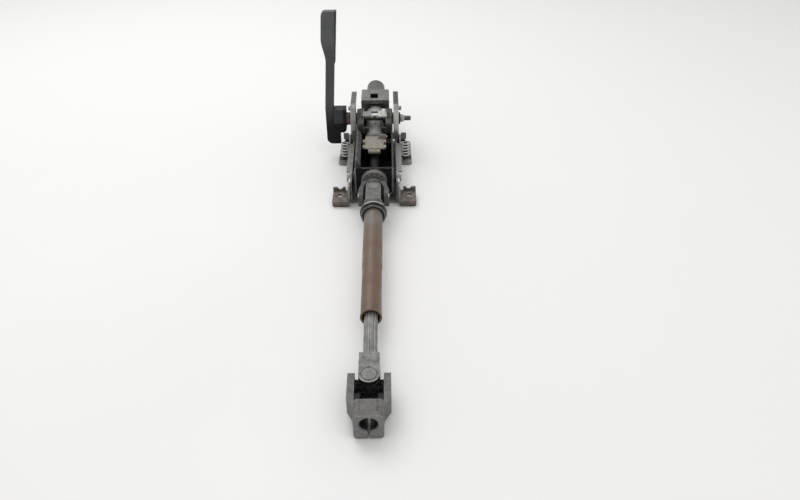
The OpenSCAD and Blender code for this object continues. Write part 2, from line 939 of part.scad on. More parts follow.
module lever_hub() {
    color("darkslategray") at_clamp() rotate([-column_rise, 0, 0]) difference() {
        union() {
            rod_x(-lever_x, -hub_in, hub_r);
            front_plate(hub_side - hub_r, hub_r - hub_side) {
                translate([-lever_x, 0]) square([lever_x - hub_in, hub_high]);
                rounded_outline([-lever_x, -hub_low], [-hub_in, hub_high], hub_corner_r);
            }
        }
        rod_x(-lever_x - eps, -hub_in + eps, clamp_r + run_fit);
        rod_x(-lever_x - eps, head_slack - head_in, head_r + head_slack);
    }
}

// A point of the lever's front view, leaning in above the hub
function leaned(x, z) = [max(0, z - lean_from) * tan(lever_lean) - x, z];

// Outer edge of the lever where the stem swells out to the paddle
function swell_x(t) = stem_out + (paddle_out - stem_out) * t * t * (3 - 2 * t);

// Front view of the lever, from the clamp bolt outwards
module lever_outline() {
    tip_r = 7;
    heel_r = 10;
    foot_top = -hub_low;
    foot_in = stem_out - lever_foot_w;
    paddle_low = lever_up - paddle_len;
    step_rise = 3;
    swell_low = paddle_low + step_rise;
    polygon(concat(
        [leaned(lever_x, foot_top), leaned(lever_x, lean_from), leaned(lever_x, paddle_low)],
        [leaned(lever_x - paddle_step, paddle_low + step_rise), leaned(lever_x - paddle_step, lever_up)],
        [leaned(paddle_out - tip_r, lever_up), leaned(paddle_out - tip_r, lever_up - tip_r)],
        [leaned(paddle_out, lever_up - tip_r)],
        [for (i = [paddle_swell_steps:-1:0])
            leaned(swell_x(i / paddle_swell_steps), swell_low + paddle_swell * i / paddle_swell_steps)],
        [leaned(stem_out, lean_from), leaned(stem_out, foot_top)]
    ));
    translate(leaned(paddle_out - tip_r, lever_up - tip_r)) circle(tip_r);
    translate([heel_r - stem_out, heel_r - lever_down]) circle(heel_r);
    translate([-stem_out, heel_r - lever_down]) square([lever_foot_w, lever_down - heel_r + foot_top]);
    translate([heel_r - stem_out, -lever_down]) square([stem_out - heel_r - foot_in, heel_r + eps]);
}

module lever_handle() {
    color("darkslategray") at_clamp() rotate([-column_rise, 0, 0])
        front_plate(-lever_t / 2, lever_t / 2) lever_outline();
}

// The opening over the lock collar
module window(top) {
    translate([-window_shift, window_front, 0])
        block([-window_w / 2, 0, 0], [window_w / 2, window_len, top + eps]);
}

module jacket_tube() {
    color("slategray") on_column_axis() difference() {
        union() {
            ring_y(jacket_front, jacket_back, jacket_r, jacket_in);
            for (i = [-jacket_ribs:jacket_ribs]) rotate([0, jacket_rib_pitch * i, 0])
                block([-jacket_rib_w / 2, strap_back + jacket_rib_gap, jacket_in + eps],
                    [jacket_rib_w / 2, jacket_rib_back, jacket_r + jacket_rib_h]);
        }
        window(jacket_r);
    }
}

module telescope_saddle() {
    slot_half = [telescope + slot_slack, 0];
    slot_mid = [clamp_y, clamp_rise];
    bridge_z = clamp_rise + slot_r;
    bar_low = cheek_low - axis_z;
    bar_top = clamp_rise - slot_r - slot_slack;
    bar_end = cheek_len / 2 - bar_inset;
    color("lightgray") on_column_axis() difference() {
        union() {
            both_sides() side_plate(cheek_in, saddle_half) difference() {
                rounded_outline([clamp_y - cheek_len / 2, bar_low],
                    [clamp_y + cheek_len / 2, saddle_rise - cheek_step], cheek_corner_r);
                slot_outline(slot_mid - slot_half, slot_mid + slot_half, slot_r);
            }
            translate([0, clamp_y, 0]) {
                block([-bridge_half, -bridge_len / 2, bridge_z],
                    [bridge_half, bridge_len / 2, saddle_rise]);
                translate([boss_x, 0, saddle_rise])
                    cylinder(h = boss_h, r1 = boss_foot_r, r2 = boss_top_r);
            }
            both_sides() translate([0, clamp_y, 0]) {
                block([web_in, -bar_end, bar_low], [cheek_in + eps, bar_t - bar_end, bar_top]);
                block([web_in, bar_end - bar_t, bar_low], [cheek_in + eps, bar_end, bar_top]);
            }
        }
        rod_y(clamp_y - cheek_len, clamp_y + cheek_len, jacket_r + jacket_fit);
        translate([0, clamp_y, 0]) block([-notch_w / 2, -bridge_len, bridge_z - eps],
            [notch_w / 2, notch_back, saddle_rise + eps]);
    }
}

module crash_strap() {
    side_w = 4;
    side_len = 9;
    side_pitch = 18;
    side_rise = strap_t + 2;
    tail_len = 6;
    tail_run = 8;
    tail_out = 3;
    tail_in = 2;
    flap_w = 13;
    flap_h = 9;
    flap_y = strap_back - 14;
    half = strap_w / 2;
    edge = half - side_w;
    plate_back = strap_back - tail_len;
    color("tan") on_column() {
        translate([0, 0, strap_z]) linear_extrude(strap_t) polygon([
            [-edge, strap_front], [edge, strap_front], [edge, plate_back - tail_run],
            [half + tail_out, plate_back], [half - tail_in, strap_back],
            [edge - tail_out - tail_in, plate_back], [-edge, plate_back]
        ]);
        for (x = [-half, edge], y = [strap_front, strap_front + side_pitch])
            block([x, y, strap_z], [x + side_w, y + side_len, strap_z + side_rise]);
        translate([edge, 0, strap_z]) front_plate(flap_y, flap_y + strap_t)
            polygon([[-flap_w, eps], [side_w, eps], [side_w, flap_h], [-side_w, flap_h]]);
    }
}

module strap_roller() {
    color("tan") on_column() translate([0, strap_front - roller_r, strap_z + strap_t - roller_r])
        rod_x(-strap_w / 4, strap_w / 4, roller_r);
}

module lock_housing() {
    half = lock_w / 2;
    color("gray") on_column_axis() difference() {
        union() {
            front_plate(lock_front, lock_back)
                rounded_outline([-half, -lock_skirt], [half, lock_rise], lock_corner_r);
            rod_y(lock_front, lock_back, lock_ring_r);
        }
        rod_y(lock_front - eps, lock_back + eps, jacket_r + jacket_fit);
        window(lock_rise);
        block([-lock_w, lock_front - eps, -lock_skirt - eps],
            [lock_w, lock_front + lock_step, lock_rise - lock_lip]);
    }
}

module inner_bush() {
    color("ivory") on_column_axis()
        ring_y(bush_front, bush_front + bush_len, jacket_in - seat_fit, upper_shaft_r + run_fit);
}

module upper_bearing() {
    color("lightsteelblue") on_column_axis()
        ring_y(upper_bearing_front, upper_bearing_back, jacket_in - seat_fit, journal_r + run_fit);
}

// Section of the lower shaft's sliding end, with its two flats
module flats_outline(r, flat) {
    intersection() {
        circle(r);
        translate([-r, flat - r]) square([2 * r, 2 * (r - flat)]);
    }
}

module upper_shaft() {
    color("slategray") on_column_axis() difference() {
        union() {
            rod_y(socket_front, collar_front + collar_len + collar_lap, upper_shaft_r);
            rod_y(collar_front, upper_bearing_back + journal_lap, journal_r);
            rod_y(upper_bearing_back, shaft_end - thread_len, wheel_seat_r);
            rod_y(upper_bearing_back, shaft_end, thread_r);
        }
        front_plate(socket_front - eps, socket_end) flats_outline(shaft_r + run_fit, shaft_flat);
    }
}

module lock_collar() {
    collar_r = jacket_in - collar_gap;
    notch_half = collar_notch_w / 2;
    notch_back = collar_front + collar_len - collar_rim;
    color("gray") on_column_axis() difference() {
        ring_y(collar_front, collar_front + collar_len, collar_r, upper_shaft_r + seat_fit);
        for (turn = [0:45:315]) rotate([0, turn, 0])
            block([-notch_half, collar_front + collar_rim, upper_shaft_r + collar_floor],
                [notch_half, notch_back, jacket_in]);
    }
}

module lower_shaft() {
    color("black") on_column_axis() difference() {
        union() {
            rod_y(upper_joint_y + upper_base + eps, flat_start, shaft_r);
            front_plate(flat_start - eps, lower_shaft_end) flats_outline(shaft_r, shaft_flat + run_fit);
        }
        ring_y(ring_groove_y, ring_groove_y + groove_w, shaft_r + eps, shaft_r - groove_d);
    }
}

module retaining_ring() {
    ring_front = ring_groove_y + ring_slack;
    ring_back = ring_groove_y + groove_w - ring_slack;
    color("silver") on_column_axis()
        ring_y(ring_front, ring_back, shaft_r + ring_rim, shaft_r - groove_d + seat_fit);
}

// One fork arm on the right, its base towards the wheel end
module fork_arm(inner, outer, half, reach) {
    side_plate(inner, outer) {
        circle(half);
        translate([0, -half]) square([reach, 2 * half]);
    }
}

module cup_bores(inner, outer) {
    both_sides() rod_x(inner - eps, outer + eps, cup_r + seat_fit);
}

module cup_pair(inner, outer) {
    both_sides() difference() {
        rod_x(inner, outer, cup_r);
        rod_x(inner - eps, outer - cap_t, trunnion_r + run_fit);
    }
}

module upright() {
    rotate([0, 90, 0]) children();
}

module joint_cross(half_x, half_z) {
    rod_x(-half_x, half_x, trunnion_r);
    upright() rod_x(-half_z, half_z, trunnion_r);
    sphere(cross_body_r);
}

module upper_fork() {
    base_back = upper_base + upper_base_t;
    color("gray") at_upper_joint() difference() {
        union() {
            both_sides() intersection() {
                fork_arm(upper_arm_root, upper_fork_out, arm_r, base_back);
                translate([0, 0, -arm_r]) linear_extrude(2 * arm_r) polygon([
                    [upper_arm_in, -arm_r], [upper_fork_out, -arm_r], [upper_fork_out, upper_arm_root],
                    [upper_hoop_r + eps, base_back], [upper_arm_root, base_back],
                    [upper_arm_root, upper_base],
                    [upper_hoop_r - upper_arm_t / 2, upper_base], [upper_arm_in, upper_arm_bend]
                ]);
            }
            rod_y(upper_base, base_back, upper_hoop_r);
            rod_y(base_back - eps, base_back + neck_len, shaft_r + neck_t);
        }
        cup_bores(upper_arm_in, upper_fork_out);
        rod_y(upper_base - eps, base_back + neck_len + eps, shaft_r + seat_fit);
    }
}

module upper_fork_cups() {
    color("lightgray") at_upper_joint() cup_pair(upper_arm_in, upper_fork_out);
}

module upper_cross() {
    color("dimgray") on_shaft() joint_cross(upper_cross_half, upper_cross_half);
}

module tube_yoke() {
    color("lightgray") on_shaft() difference() {
        union() {
            upright() both_sides() mirror([0, 1, 0])
                fork_arm(upper_arm_in, upper_fork_out, yoke_arm_r, yoke_cup_floor);
            rotate([-90, 0, 0]) rotate_extrude() polygon([
                [0, -yoke_neck_at], [yoke_neck_r, -yoke_neck_at], [yoke_cup_r, -yoke_shoulder_at],
                [yoke_cup_r, -yoke_shoulder_at - yoke_land], [yoke_snout_r, -yoke_shoulder_at - yoke_land],
                [yoke_snout_r, -yoke_rim_at], [yoke_cup_in, -yoke_rim_at],
                [yoke_cup_in, -yoke_cup_floor], [0, -yoke_cup_floor]
            ]);
        }
        upright() cup_bores(upper_arm_in, upper_fork_out);
    }
}

module tube_yoke_cups() {
    color("silver") on_shaft() upright() cup_pair(upper_arm_in, upper_fork_out);
}

module damper_bush() {
    color("black") on_shaft()
        ring_y(-yoke_rim_at + 1, -tube_start, yoke_cup_in - seat_fit, tube_r + seat_fit);
}

module intermediate_tube() {
    low_r = tube_r - tube_step;
    low_in = tube_in - tube_step;
    flare_at = tube_end_at - swage_len;
    color("rosybrown") on_shaft() rotate([-90, 0, 0]) rotate_extrude() polygon([
        [0, -tube_start], [tube_r, -tube_start], [tube_r, -tube_step_at],
        [low_r, -tube_step_at - swage_len],
        [low_r, -flare_at], [low_r + flare, -tube_end_at], [low_in + flare_in, -tube_end_at],
        [low_in, -flare_at], [low_in, -tube_bore_at], [0, -tube_bore_at]
    ]);
}

// Section of the fluted shaft, larger by a clearance in the sleeve that drives it
module flute_outline(clearance) {
    difference() {
        circle(inner_r + clearance);
        for (i = [0:flutes - 1]) rotate(360 * i / flutes)
            translate([inner_r + groove_r - flute_depth, 0]) circle(groove_r - clearance);
    }
}

module spline_sleeve() {
    color("ivory") on_shaft() front_plate(-sleeve_end_at, sleeve_len - sleeve_end_at) difference() {
        circle(tube_in - tube_step - seat_fit);
        flute_outline(spline_fit);
    }
}

module inner_shaft() {
    color("gray") on_shaft() {
        front_plate(-inner_seat_at, -inner_start_at) flute_outline(0);
        rod_y(inner_base + inner_lip - shaft_len, eps - inner_seat_at, inner_seat_r);
    }
}

module inner_fork() {
    base_back = inner_base + inner_base_t;
    taper_back = base_back + inner_taper;
    color("gray") at_lower_joint() difference() {
        union() {
            upright() both_sides() fork_arm(inner_arm_in, inner_fork_out, inner_arm_r, inner_base + eps);
            intersection() {
                side_plate(-inner_arm_r, inner_arm_r) polygon([
                    [inner_base, -inner_fork_out], [base_back, -inner_fork_out], [taper_back, -inner_neck],
                    [taper_back, inner_neck], [base_back, inner_fork_out], [inner_base, inner_fork_out]
                ]);
                translate([0, 0, -inner_fork_out]) linear_extrude(2 * inner_fork_out) polygon([
                    [-inner_arm_r, inner_base], [inner_arm_r, inner_base], [inner_arm_r, base_back],
                    [inner_r, taper_back], [-inner_r, taper_back], [-inner_arm_r, base_back]
                ]);
            }
        }
        upright() cup_bores(inner_arm_in, inner_fork_out);
        rod_y(inner_base + inner_lip, taper_back + eps, inner_seat_r + seat_fit);
    }
}

module inner_fork_cups() {
    color("lightgray") at_lower_joint() upright() cup_pair(inner_arm_in, inner_fork_out);
}

module lower_cross() {
    color("dimgray") at_lower_joint() joint_cross(yoke_cross_half, inner_cross_half);
}

module pinion_yoke() {
    taper_back = yoke_base - taper_before;
    taper_front = yoke_base + taper_after;
    mid_bore = (yoke_base + yoke_len) / 2;
    color("dimgray") on_pinion_yoke() difference() {
        union() {
            both_sides() side_plate(yoke_arm_in, yoke_out) {
                translate([-taper_back, -arm_r]) square([taper_back + yoke_tip - yoke_tip_r, 2 * arm_r]);
                rounded_outline([-yoke_tip, -arm_r], [yoke_tip, arm_r], yoke_tip_r);
            }
            translate([0, 0, -arm_r]) linear_extrude(2 * arm_r) difference() {
                polygon([
                    [-yoke_out, -taper_back], [-yoke_body_half, -taper_front],
                    [yoke_body_half, -taper_front], [yoke_out, -taper_back]
                ]);
                translate([-yoke_arm_in, -yoke_base]) square([2 * yoke_arm_in, yoke_base]);
            }
            front_plate(-yoke_len, -yoke_base)
                rounded_outline([-yoke_body_half, -lug_drop], [yoke_body_half, body_top], body_corner_r);
        }
        cup_bores(yoke_arm_in, yoke_out);
        rod_y(-yoke_len - eps, -yoke_base + eps, pinion_r);
        translate([0, -yoke_len, 0]) rotate([-90, 0, 0])
            cylinder(h = mouth_chamfer, r1 = pinion_r + mouth_chamfer, r2 = pinion_r);
        block([-slit_w / 2, -yoke_len - eps, -lug_drop - eps], [slit_w / 2, -yoke_base + eps, 0]);
        translate([0, -mid_bore, -pinch_drop]) rod_x(-yoke_out, yoke_out, pinch_r);
    }
}

module pinion_yoke_cups() {
    color("lightgray") on_pinion_yoke() cup_pair(yoke_arm_in, yoke_out);
}

mounting_bracket();
left_ear();
right_ear();
pivot_pins();
left_balance_spring();
right_balance_spring();
box_channel();
end_plate();
lower_bearing();
pivot_spacers();
spring_arms();
front_guide();
rear_guide();
clamp_spacers();
clamp_bolt();
fixed_cam();
clamp_washer();
clamp_nut();
moving_cam();
lever_hub();
lever_handle();
jacket_tube();
telescope_saddle();
crash_strap();
strap_roller();
lock_housing();
inner_bush();
upper_bearing();
upper_shaft();
lock_collar();
lower_shaft();
retaining_ring();
upper_fork();
upper_fork_cups();
upper_cross();
tube_yoke();
tube_yoke_cups();
damper_bush();
intermediate_tube();
spline_sleeve();
inner_shaft();
inner_fork();
inner_fork_cups();
lower_cross();
pinion_yoke();
pinion_yoke_cups();
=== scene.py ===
import json
import math

import bpy
from bpy.props import FloatProperty, FloatVectorProperty, IntProperty, PointerProperty
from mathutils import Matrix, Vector


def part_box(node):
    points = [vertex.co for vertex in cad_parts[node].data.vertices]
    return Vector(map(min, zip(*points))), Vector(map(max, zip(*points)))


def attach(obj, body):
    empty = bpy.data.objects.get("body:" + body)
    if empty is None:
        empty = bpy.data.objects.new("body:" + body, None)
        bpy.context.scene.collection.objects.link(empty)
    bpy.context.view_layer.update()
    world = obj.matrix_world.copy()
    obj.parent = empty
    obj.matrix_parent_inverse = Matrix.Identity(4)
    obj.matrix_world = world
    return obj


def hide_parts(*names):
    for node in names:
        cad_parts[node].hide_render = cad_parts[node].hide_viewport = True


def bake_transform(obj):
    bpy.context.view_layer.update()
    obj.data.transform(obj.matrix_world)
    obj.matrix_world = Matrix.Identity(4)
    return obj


bl_info = {
    "name": "Steering Column Looks",
    "version": (1, 0, 0),
    "blender": (4, 5, 0),
    "location": "View3D > Sidebar > Column",
    "description": "Finishes and small pieces of a tilting steering column, built on its packed frame",
    "category": "Object",
}

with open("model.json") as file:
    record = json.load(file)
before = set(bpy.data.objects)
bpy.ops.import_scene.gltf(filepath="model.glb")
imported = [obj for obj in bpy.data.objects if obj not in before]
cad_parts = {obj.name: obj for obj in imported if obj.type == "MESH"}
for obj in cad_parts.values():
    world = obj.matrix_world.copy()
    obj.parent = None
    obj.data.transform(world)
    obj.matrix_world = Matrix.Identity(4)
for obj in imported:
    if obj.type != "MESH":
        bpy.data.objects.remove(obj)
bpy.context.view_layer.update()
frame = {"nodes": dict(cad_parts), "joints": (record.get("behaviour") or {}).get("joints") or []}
NODES = frame["nodes"]
JOINTS = {joint["name"]: joint for joint in frame["joints"]}
MM = 0.001


def joint_place(name):
    """The point that a joint turns about, in the row frame."""
    return Vector(JOINTS[name]["pos_m"])


def joint_axis(name):
    """The direction of a joint's axis."""
    return Vector(JOINTS[name]["axis"]).normalized()


SIDES = (1, -1)
RIGHT, BACK, UP = Vector((1, 0, 0)), Vector((0, 1, 0)), Vector((0, 0, 1))
LEFT, FRONT, DOWN = -RIGHT, -BACK, -UP
PIVOT = joint_place("tilt")
CLAMP = joint_place("clamp_lever")
UPPER_JOINT = joint_place("upper_joint_nod")
LOWER_JOINT = joint_place("lower_joint_nod")
DOWN_SHAFT = (LOWER_JOINT - UPPER_JOINT).normalized()
SHAFT_UP = joint_axis("upper_joint_swing")
if SHAFT_UP.z < 0:
    SHAFT_UP = -SHAFT_UP
COLUMN_AXIS = joint_axis("telescope")
COLUMN_UP = RIGHT.cross(COLUMN_AXIS)
COLUMN_RISE = COLUMN_AXIS.z / COLUMN_AXIS.y
UNDER_COLUMN = (0.0, COLUMN_RISE, -1.0)


def on_axis(y):
    """The point of the column's axis at a level of y."""
    return Vector((0, y, PIVOT.z + (y - PIVOT.y) * COLUMN_RISE))


def colour_value(name, about, default):
    """A colour for the sidebar."""
    return FloatVectorProperty(name=name, description=about, default=default, subtype="COLOR", min=0, max=1)


def length_value(name, about, default, least=0.0):
    """A length for the sidebar, in metres."""
    return FloatProperty(name=name, description=about, default=default, unit="LENGTH", precision=5, min=least)


class ColumnColours(bpy.types.PropertyGroup):
    """Colours of the column's finishes"""

    galvanised: colour_value("Galvanised", "Zinc skin of the pressed bracket", (0.33, 0.33, 0.31))
    black_paint: colour_value("Black paint", "Dip paint of the tilting box", (0.014, 0.014, 0.014))
    cast_metal: colour_value("Cast metal", "Pale casting of the saddle", (0.40, 0.39, 0.365))
    housing: colour_value("Lock housing", "Grey casting of the lock housing", (0.20, 0.20, 0.19))
    lever: colour_value("Lever", "Charcoal plastic of the lever", (0.082, 0.084, 0.087))
    tube: colour_value("Tube", "Brown drawn steel of the intermediate tube", (0.142, 0.098, 0.070))
    forged: colour_value("Forged steel", "Grey of the forks and the fluted shaft", (0.18, 0.178, 0.172))
    iron: colour_value("Cast iron", "Dark casting of the pinion yoke", (0.088, 0.086, 0.082))
    strap: colour_value("Strap", "Beige chromate of the crash strap", (0.285, 0.265, 0.212))
    ear: colour_value("Ears", "Brown of the lower mounting ears", (0.155, 0.135, 0.118))
    rust: colour_value("Rust", "Light tone of the rust", (0.23, 0.105, 0.045))
    # This colour also paints shade into corners, through the ambient occlusion in its mask.
    grime: colour_value("Grime", "Oily dirt in the corners", (0.022, 0.020, 0.017))
    bright: colour_value("Bright edges", "Bare metal where edges are worn", (0.62, 0.61, 0.59))
    floor: colour_value("Floor", "Pale floor under the column", (0.825, 0.82, 0.81))


class ColumnSizes(bpy.types.PropertyGroup):
    """Sizes of the column's small pieces"""

    edge_round: length_value("Edge rounding", "Rounding of pressed and cast edges", 0.5 * MM)
    wire_radius: length_value("Spring wire", "Radius of the spring wire", 1.0 * MM)
    spring_coils: IntProperty(name="Spring coils", description="Coils of each balance spring", default=5, min=1)
    thread_pitch: length_value("Thread pitch", "Pitch of the stud's thread", 1.25 * MM, 0.5 * MM)
    cup_radius: length_value("Cup radius", "Radius of the needle-bearing cups in the forks", 8.0 * MM)
    seal_radius: length_value("Seal radius", "Outer radius of the rubber seals on the crosses", 7.6 * MM)
    pin_radius: length_value("Stop pin", "Radius of the stop pins on the towers", 4.0 * MM)
    weld_radius: length_value("Weld bead", "Radius of a weld bead", 1.6 * MM)
    seat_teeth: IntProperty(name="Seat teeth", description="Teeth round the wheel seat", default=36, min=8)


def tint(name):
    """A colour of the sidebar."""
    return tuple(getattr(bpy.context.scene.column_colours, name))


def sizes():
    return bpy.context.scene.column_sizes


def toned(colour, factor):
    """A colour made darker or lighter."""
    return tuple(min(1.0, part * factor) for part in colour)


def grey(level):
    return (level, level, level)


# Nodes and node groups that several finishes share

RAY_SAMPLES = 6


def feed(tree, socket, value):
    """Links a socket to another one, or sets it to a number or a colour."""
    if isinstance(value, bpy.types.NodeSocket):
        tree.links.new(value, socket)
    else:
        socket.default_value = (*value, 1) if isinstance(value, tuple) else value


def math_node(tree, operation, first, second, clamp=False):
    """A Math node on two sockets or numbers, and its output."""
    made = tree.nodes.new("ShaderNodeMath")
    made.operation = operation
    made.use_clamp = clamp
    feed(tree, made.inputs[0], first)
    feed(tree, made.inputs[1], second)
    return made.outputs[0]


def dot_product(tree, first, second):
    """How far one direction goes along another."""
    made = tree.nodes.new("ShaderNodeVectorMath")
    made.operation = "DOT_PRODUCT"
    feed(tree, made.inputs[0], first)
    feed(tree, made.inputs[1], second)
    return made.outputs["Value"]


def spread(tree, value, low, high, to_low=0.0, to_high=1.0):
    """Maps a value smoothly from one range to another."""
    made = tree.nodes.new("ShaderNodeMapRange")
    made.interpolation_type = "SMOOTHSTEP"
    feed(tree, made.inputs["Value"], value)
    for socket, number in (("From Min", low), ("From Max", high), ("To Min", to_low), ("To Max", to_high)):
        feed(tree, made.inputs[socket], number)
    return made.outputs[0]


def own_place(tree):
    """The piece's own coordinates."""
    return tree.nodes.new("ShaderNodeTexCoord").outputs["Object"]


def noise_value(tree, scale, detail=4.0, rough=0.55, place=None):
    """Noise over the piece's own coordinates, or over another place."""
    made = tree.nodes.new("ShaderNodeTexNoise")
    for socket, value in (("Vector", place or own_place(tree)), ("Scale", scale), ("Detail", detail),
                          ("Roughness", rough)):
        feed(tree, made.inputs[socket], value)
    return made.outputs["Fac"]


def layer(tree, below, mask, above):
    """Lays a colour over another by a mask."""
    made = tree.nodes.new("ShaderNodeMix")
    made.data_type = "RGBA"
    for socket, value in (("Factor", mask), ("A", below), ("B", above)):
        feed(tree, made.inputs[socket], value)
    return made.outputs["Result"]


def group_tree(name, inputs, outputs=(("Mask", "NodeSocketFloat"),)):
    """An empty shader node group with named numbers as inputs, and what goes in and out of it."""
    tree = bpy.data.node_groups.new(name, "ShaderNodeTree")
    for socket, default in inputs.items():
        made = tree.interface.new_socket(name=socket, in_out="INPUT", socket_type="NodeSocketFloat")
        made.default_value = default
    for socket, kind in outputs:
        tree.interface.new_socket(name=socket, in_out="OUTPUT", socket_type=kind)
    return tree, tree.nodes.new("NodeGroupInput").outputs, tree.nodes.new("NodeGroupOutput").inputs


def edge_wear_group():
    """Mask of worn outer edges, broken up by noise."""
    tree, given, out = group_tree("Edge wear", {"Radius": 0.0008, "Reach": 0.5, "Scale": 300.0})
    bevel = tree.nodes.new("ShaderNodeBevel")
    bevel.samples = RAY_SAMPLES
    feed(tree, bevel.inputs["Radius"], given["Radius"])
    flat = tree.nodes.new("ShaderNodeNewGeometry").outputs["Normal"]
    bent = math_node(tree, "SUBTRACT", 1.0, dot_product(tree, bevel.outputs["Normal"], flat), clamp=True)
    edge = spread(tree, bent, 0.01, 0.16)
    broken = spread(tree, noise_value(tree, given["Scale"]), 0.35, 0.62)
    worn = math_node(tree, "MULTIPLY", edge, broken)
    feed(tree, out["Mask"], math_node(tree, "MULTIPLY", worn, given["Reach"], clamp=True))
    return tree


def mottling_group():
    """Slow patches of tone over a surface."""
    tree, given, out = group_tree("Mottling", {"Scale": 60.0})
    feed(tree, out["Mask"], spread(tree, noise_value(tree, given["Scale"], 6.0), 0.32, 0.68))
    return tree


def grime_and_shade_group():
    """Mask of oily stains, and of painted shade in corners from ambient occlusion."""
    tree, given, out = group_tree("Grime", {"Scale": 90.0, "Cover": 0.4, "Depth": 0.008})
    shade = tree.nodes.new("ShaderNodeAmbientOcclusion")
    shade.samples = RAY_SAMPLES
    feed(tree, shade.inputs["Distance"], given["Depth"])
    # Painted shade: the ambient occlusion darkens corners.
    corner_shade = spread(tree, shade.outputs["AO"], 0.35, 0.95, 1.0, 0.0)
    stain = spread(tree, noise_value(tree, given["Scale"], 7.0, 0.62), 0.50, 0.72)
    both = math_node(tree, "ADD", math_node(tree, "MULTIPLY", corner_shade, 0.9), math_node(tree, "MULTIPLY", stain, 0.55))
    feed(tree, out["Mask"], math_node(tree, "MULTIPLY", both, given["Cover"], clamp=True))
    return tree


def rust_group():
    """Patches of rust: how much there is, and its colour."""
    tree, given, out = group_tree(
        "Rust", {"Scale": 70.0, "Cover": 0.3}, (("Mask", "NodeSocketFloat"), ("Colour", "NodeSocketColor")))
    patch = noise_value(tree, given["Scale"], 8.0, 0.68)
    low = math_node(tree, "SUBTRACT", 0.78, math_node(tree, "MULTIPLY", given["Cover"], 0.5))
    high = math_node(tree, "ADD", low, 0.12)
    feed(tree, out["Mask"], spread(tree, patch, low, high))
    fine = noise_value(tree, math_node(tree, "MULTIPLY", given["Scale"], 7.0), 5.0)
    light = tint("rust")
    dark = (light[0] * 0.28, light[1] * 0.28, light[2] * 0.34)
    feed(tree, out["Colour"], layer(tree, dark, fine, light))
    return tree


def grain_group():
    """Fine relief, drawn out along y by Stretch."""
    tree, given, out = group_tree("Grain", {"Scale": 900.0, "Stretch": 1.0}, (("Height", "NodeSocketFloat"),))
    parts = tree.nodes.new("ShaderNodeSeparateXYZ")
    drawn = tree.nodes.new("ShaderNodeCombineXYZ")
    feed(tree, parts.inputs[0], own_place(tree))
    feed(tree, drawn.inputs["X"], parts.outputs["X"])
    feed(tree, drawn.inputs["Y"], math_node(tree, "DIVIDE", parts.outputs["Y"], given["Stretch"]))
    feed(tree, drawn.inputs["Z"], parts.outputs["Z"])
    feed(tree, out["Height"], noise_value(tree, given["Scale"], 5.0, 0.6, drawn.outputs[0]))
    return tree


def dust_group():
    """Pale dust on faces that look upwards."""
    tree, given, out = group_tree("Dust", {"Scale": 140.0, "Cover": 0.3})
    parts = tree.nodes.new("ShaderNodeSeparateXYZ")
    feed(tree, parts.inputs[0], tree.nodes.new("ShaderNodeNewGeometry").outputs["Normal"])
    upward = spread(tree, parts.outputs["Z"], 0.25, 0.95)
    patch = spread(tree, noise_value(tree, given["Scale"], 6.0, 0.65), 0.38, 0.70)
    laid = math_node(tree, "MULTIPLY", upward, patch)
    feed(tree, out["Mask"], math_node(tree, "MULTIPLY", laid, given["Cover"], clamp=True))
    return tree


def band_group():
    """Mask between two levels along a direction of the piece's own coordinates."""
    tree, given, out = group_tree("Band", {"X": 0.0, "Y": 0.0, "Z": 0.0, "Start": 0.0, "End": 1.0, "Blur": 0.0003})
    way = tree.nodes.new("ShaderNodeCombineXYZ")
    for axis in "XYZ":
        feed(tree, way.inputs[axis], given[axis])
    along = dot_product(tree, own_place(tree), way.outputs[0])
    ramps = []
    for edge in ("Start", "End"):
        low = math_node(tree, "SUBTRACT", given[edge], given["Blur"])
        high = math_node(tree, "ADD", given[edge], given["Blur"])
        ramps.append(spread(tree, along, low, high))
    feed(tree, out["Mask"], math_node(tree, "SUBTRACT", *ramps, clamp=True))
    return tree


EFFECTS = {
    "Band": band_group,
    "Edge wear": edge_wear_group,
    "Mottling": mottling_group,
    "Grime": grime_and_shade_group,
    "Rust": rust_group,
    "Grain": grain_group,
    "Dust": dust_group,
}


def effect(tree, name, **values):
    """Places a shared node group in a material with its own values."""
    made = tree.nodes.new("ShaderNodeGroup")
    made.node_tree = bpy.data.node_groups.get(name) or EFFECTS[name]()
    for socket, value in values.items():
        made.inputs[socket.capitalize()].default_value = value
    return made.outputs


ROUGH_RUST, ROUGH_GRIME, ROUGH_BARE = 0.88, 0.7, 0.3
RUST_METALLIC, RUST_HEIGHT = 0.05, 0.8
WEAR_SCALE, DUST_SCALE, GRIME_PER_PATCH = 260.0, 140.0, 1.7
DUST_TONE = (0.42, 0.40, 0.37)


def band(way, start=0.0, end=1.0, blur=0.0003):
    """A limit of a zone: from start to end along a direction of the piece's own coordinates."""
    return {"x": way[0], "y": way[1], "z": way[2], "start": start, "end": end, "blur": blur}


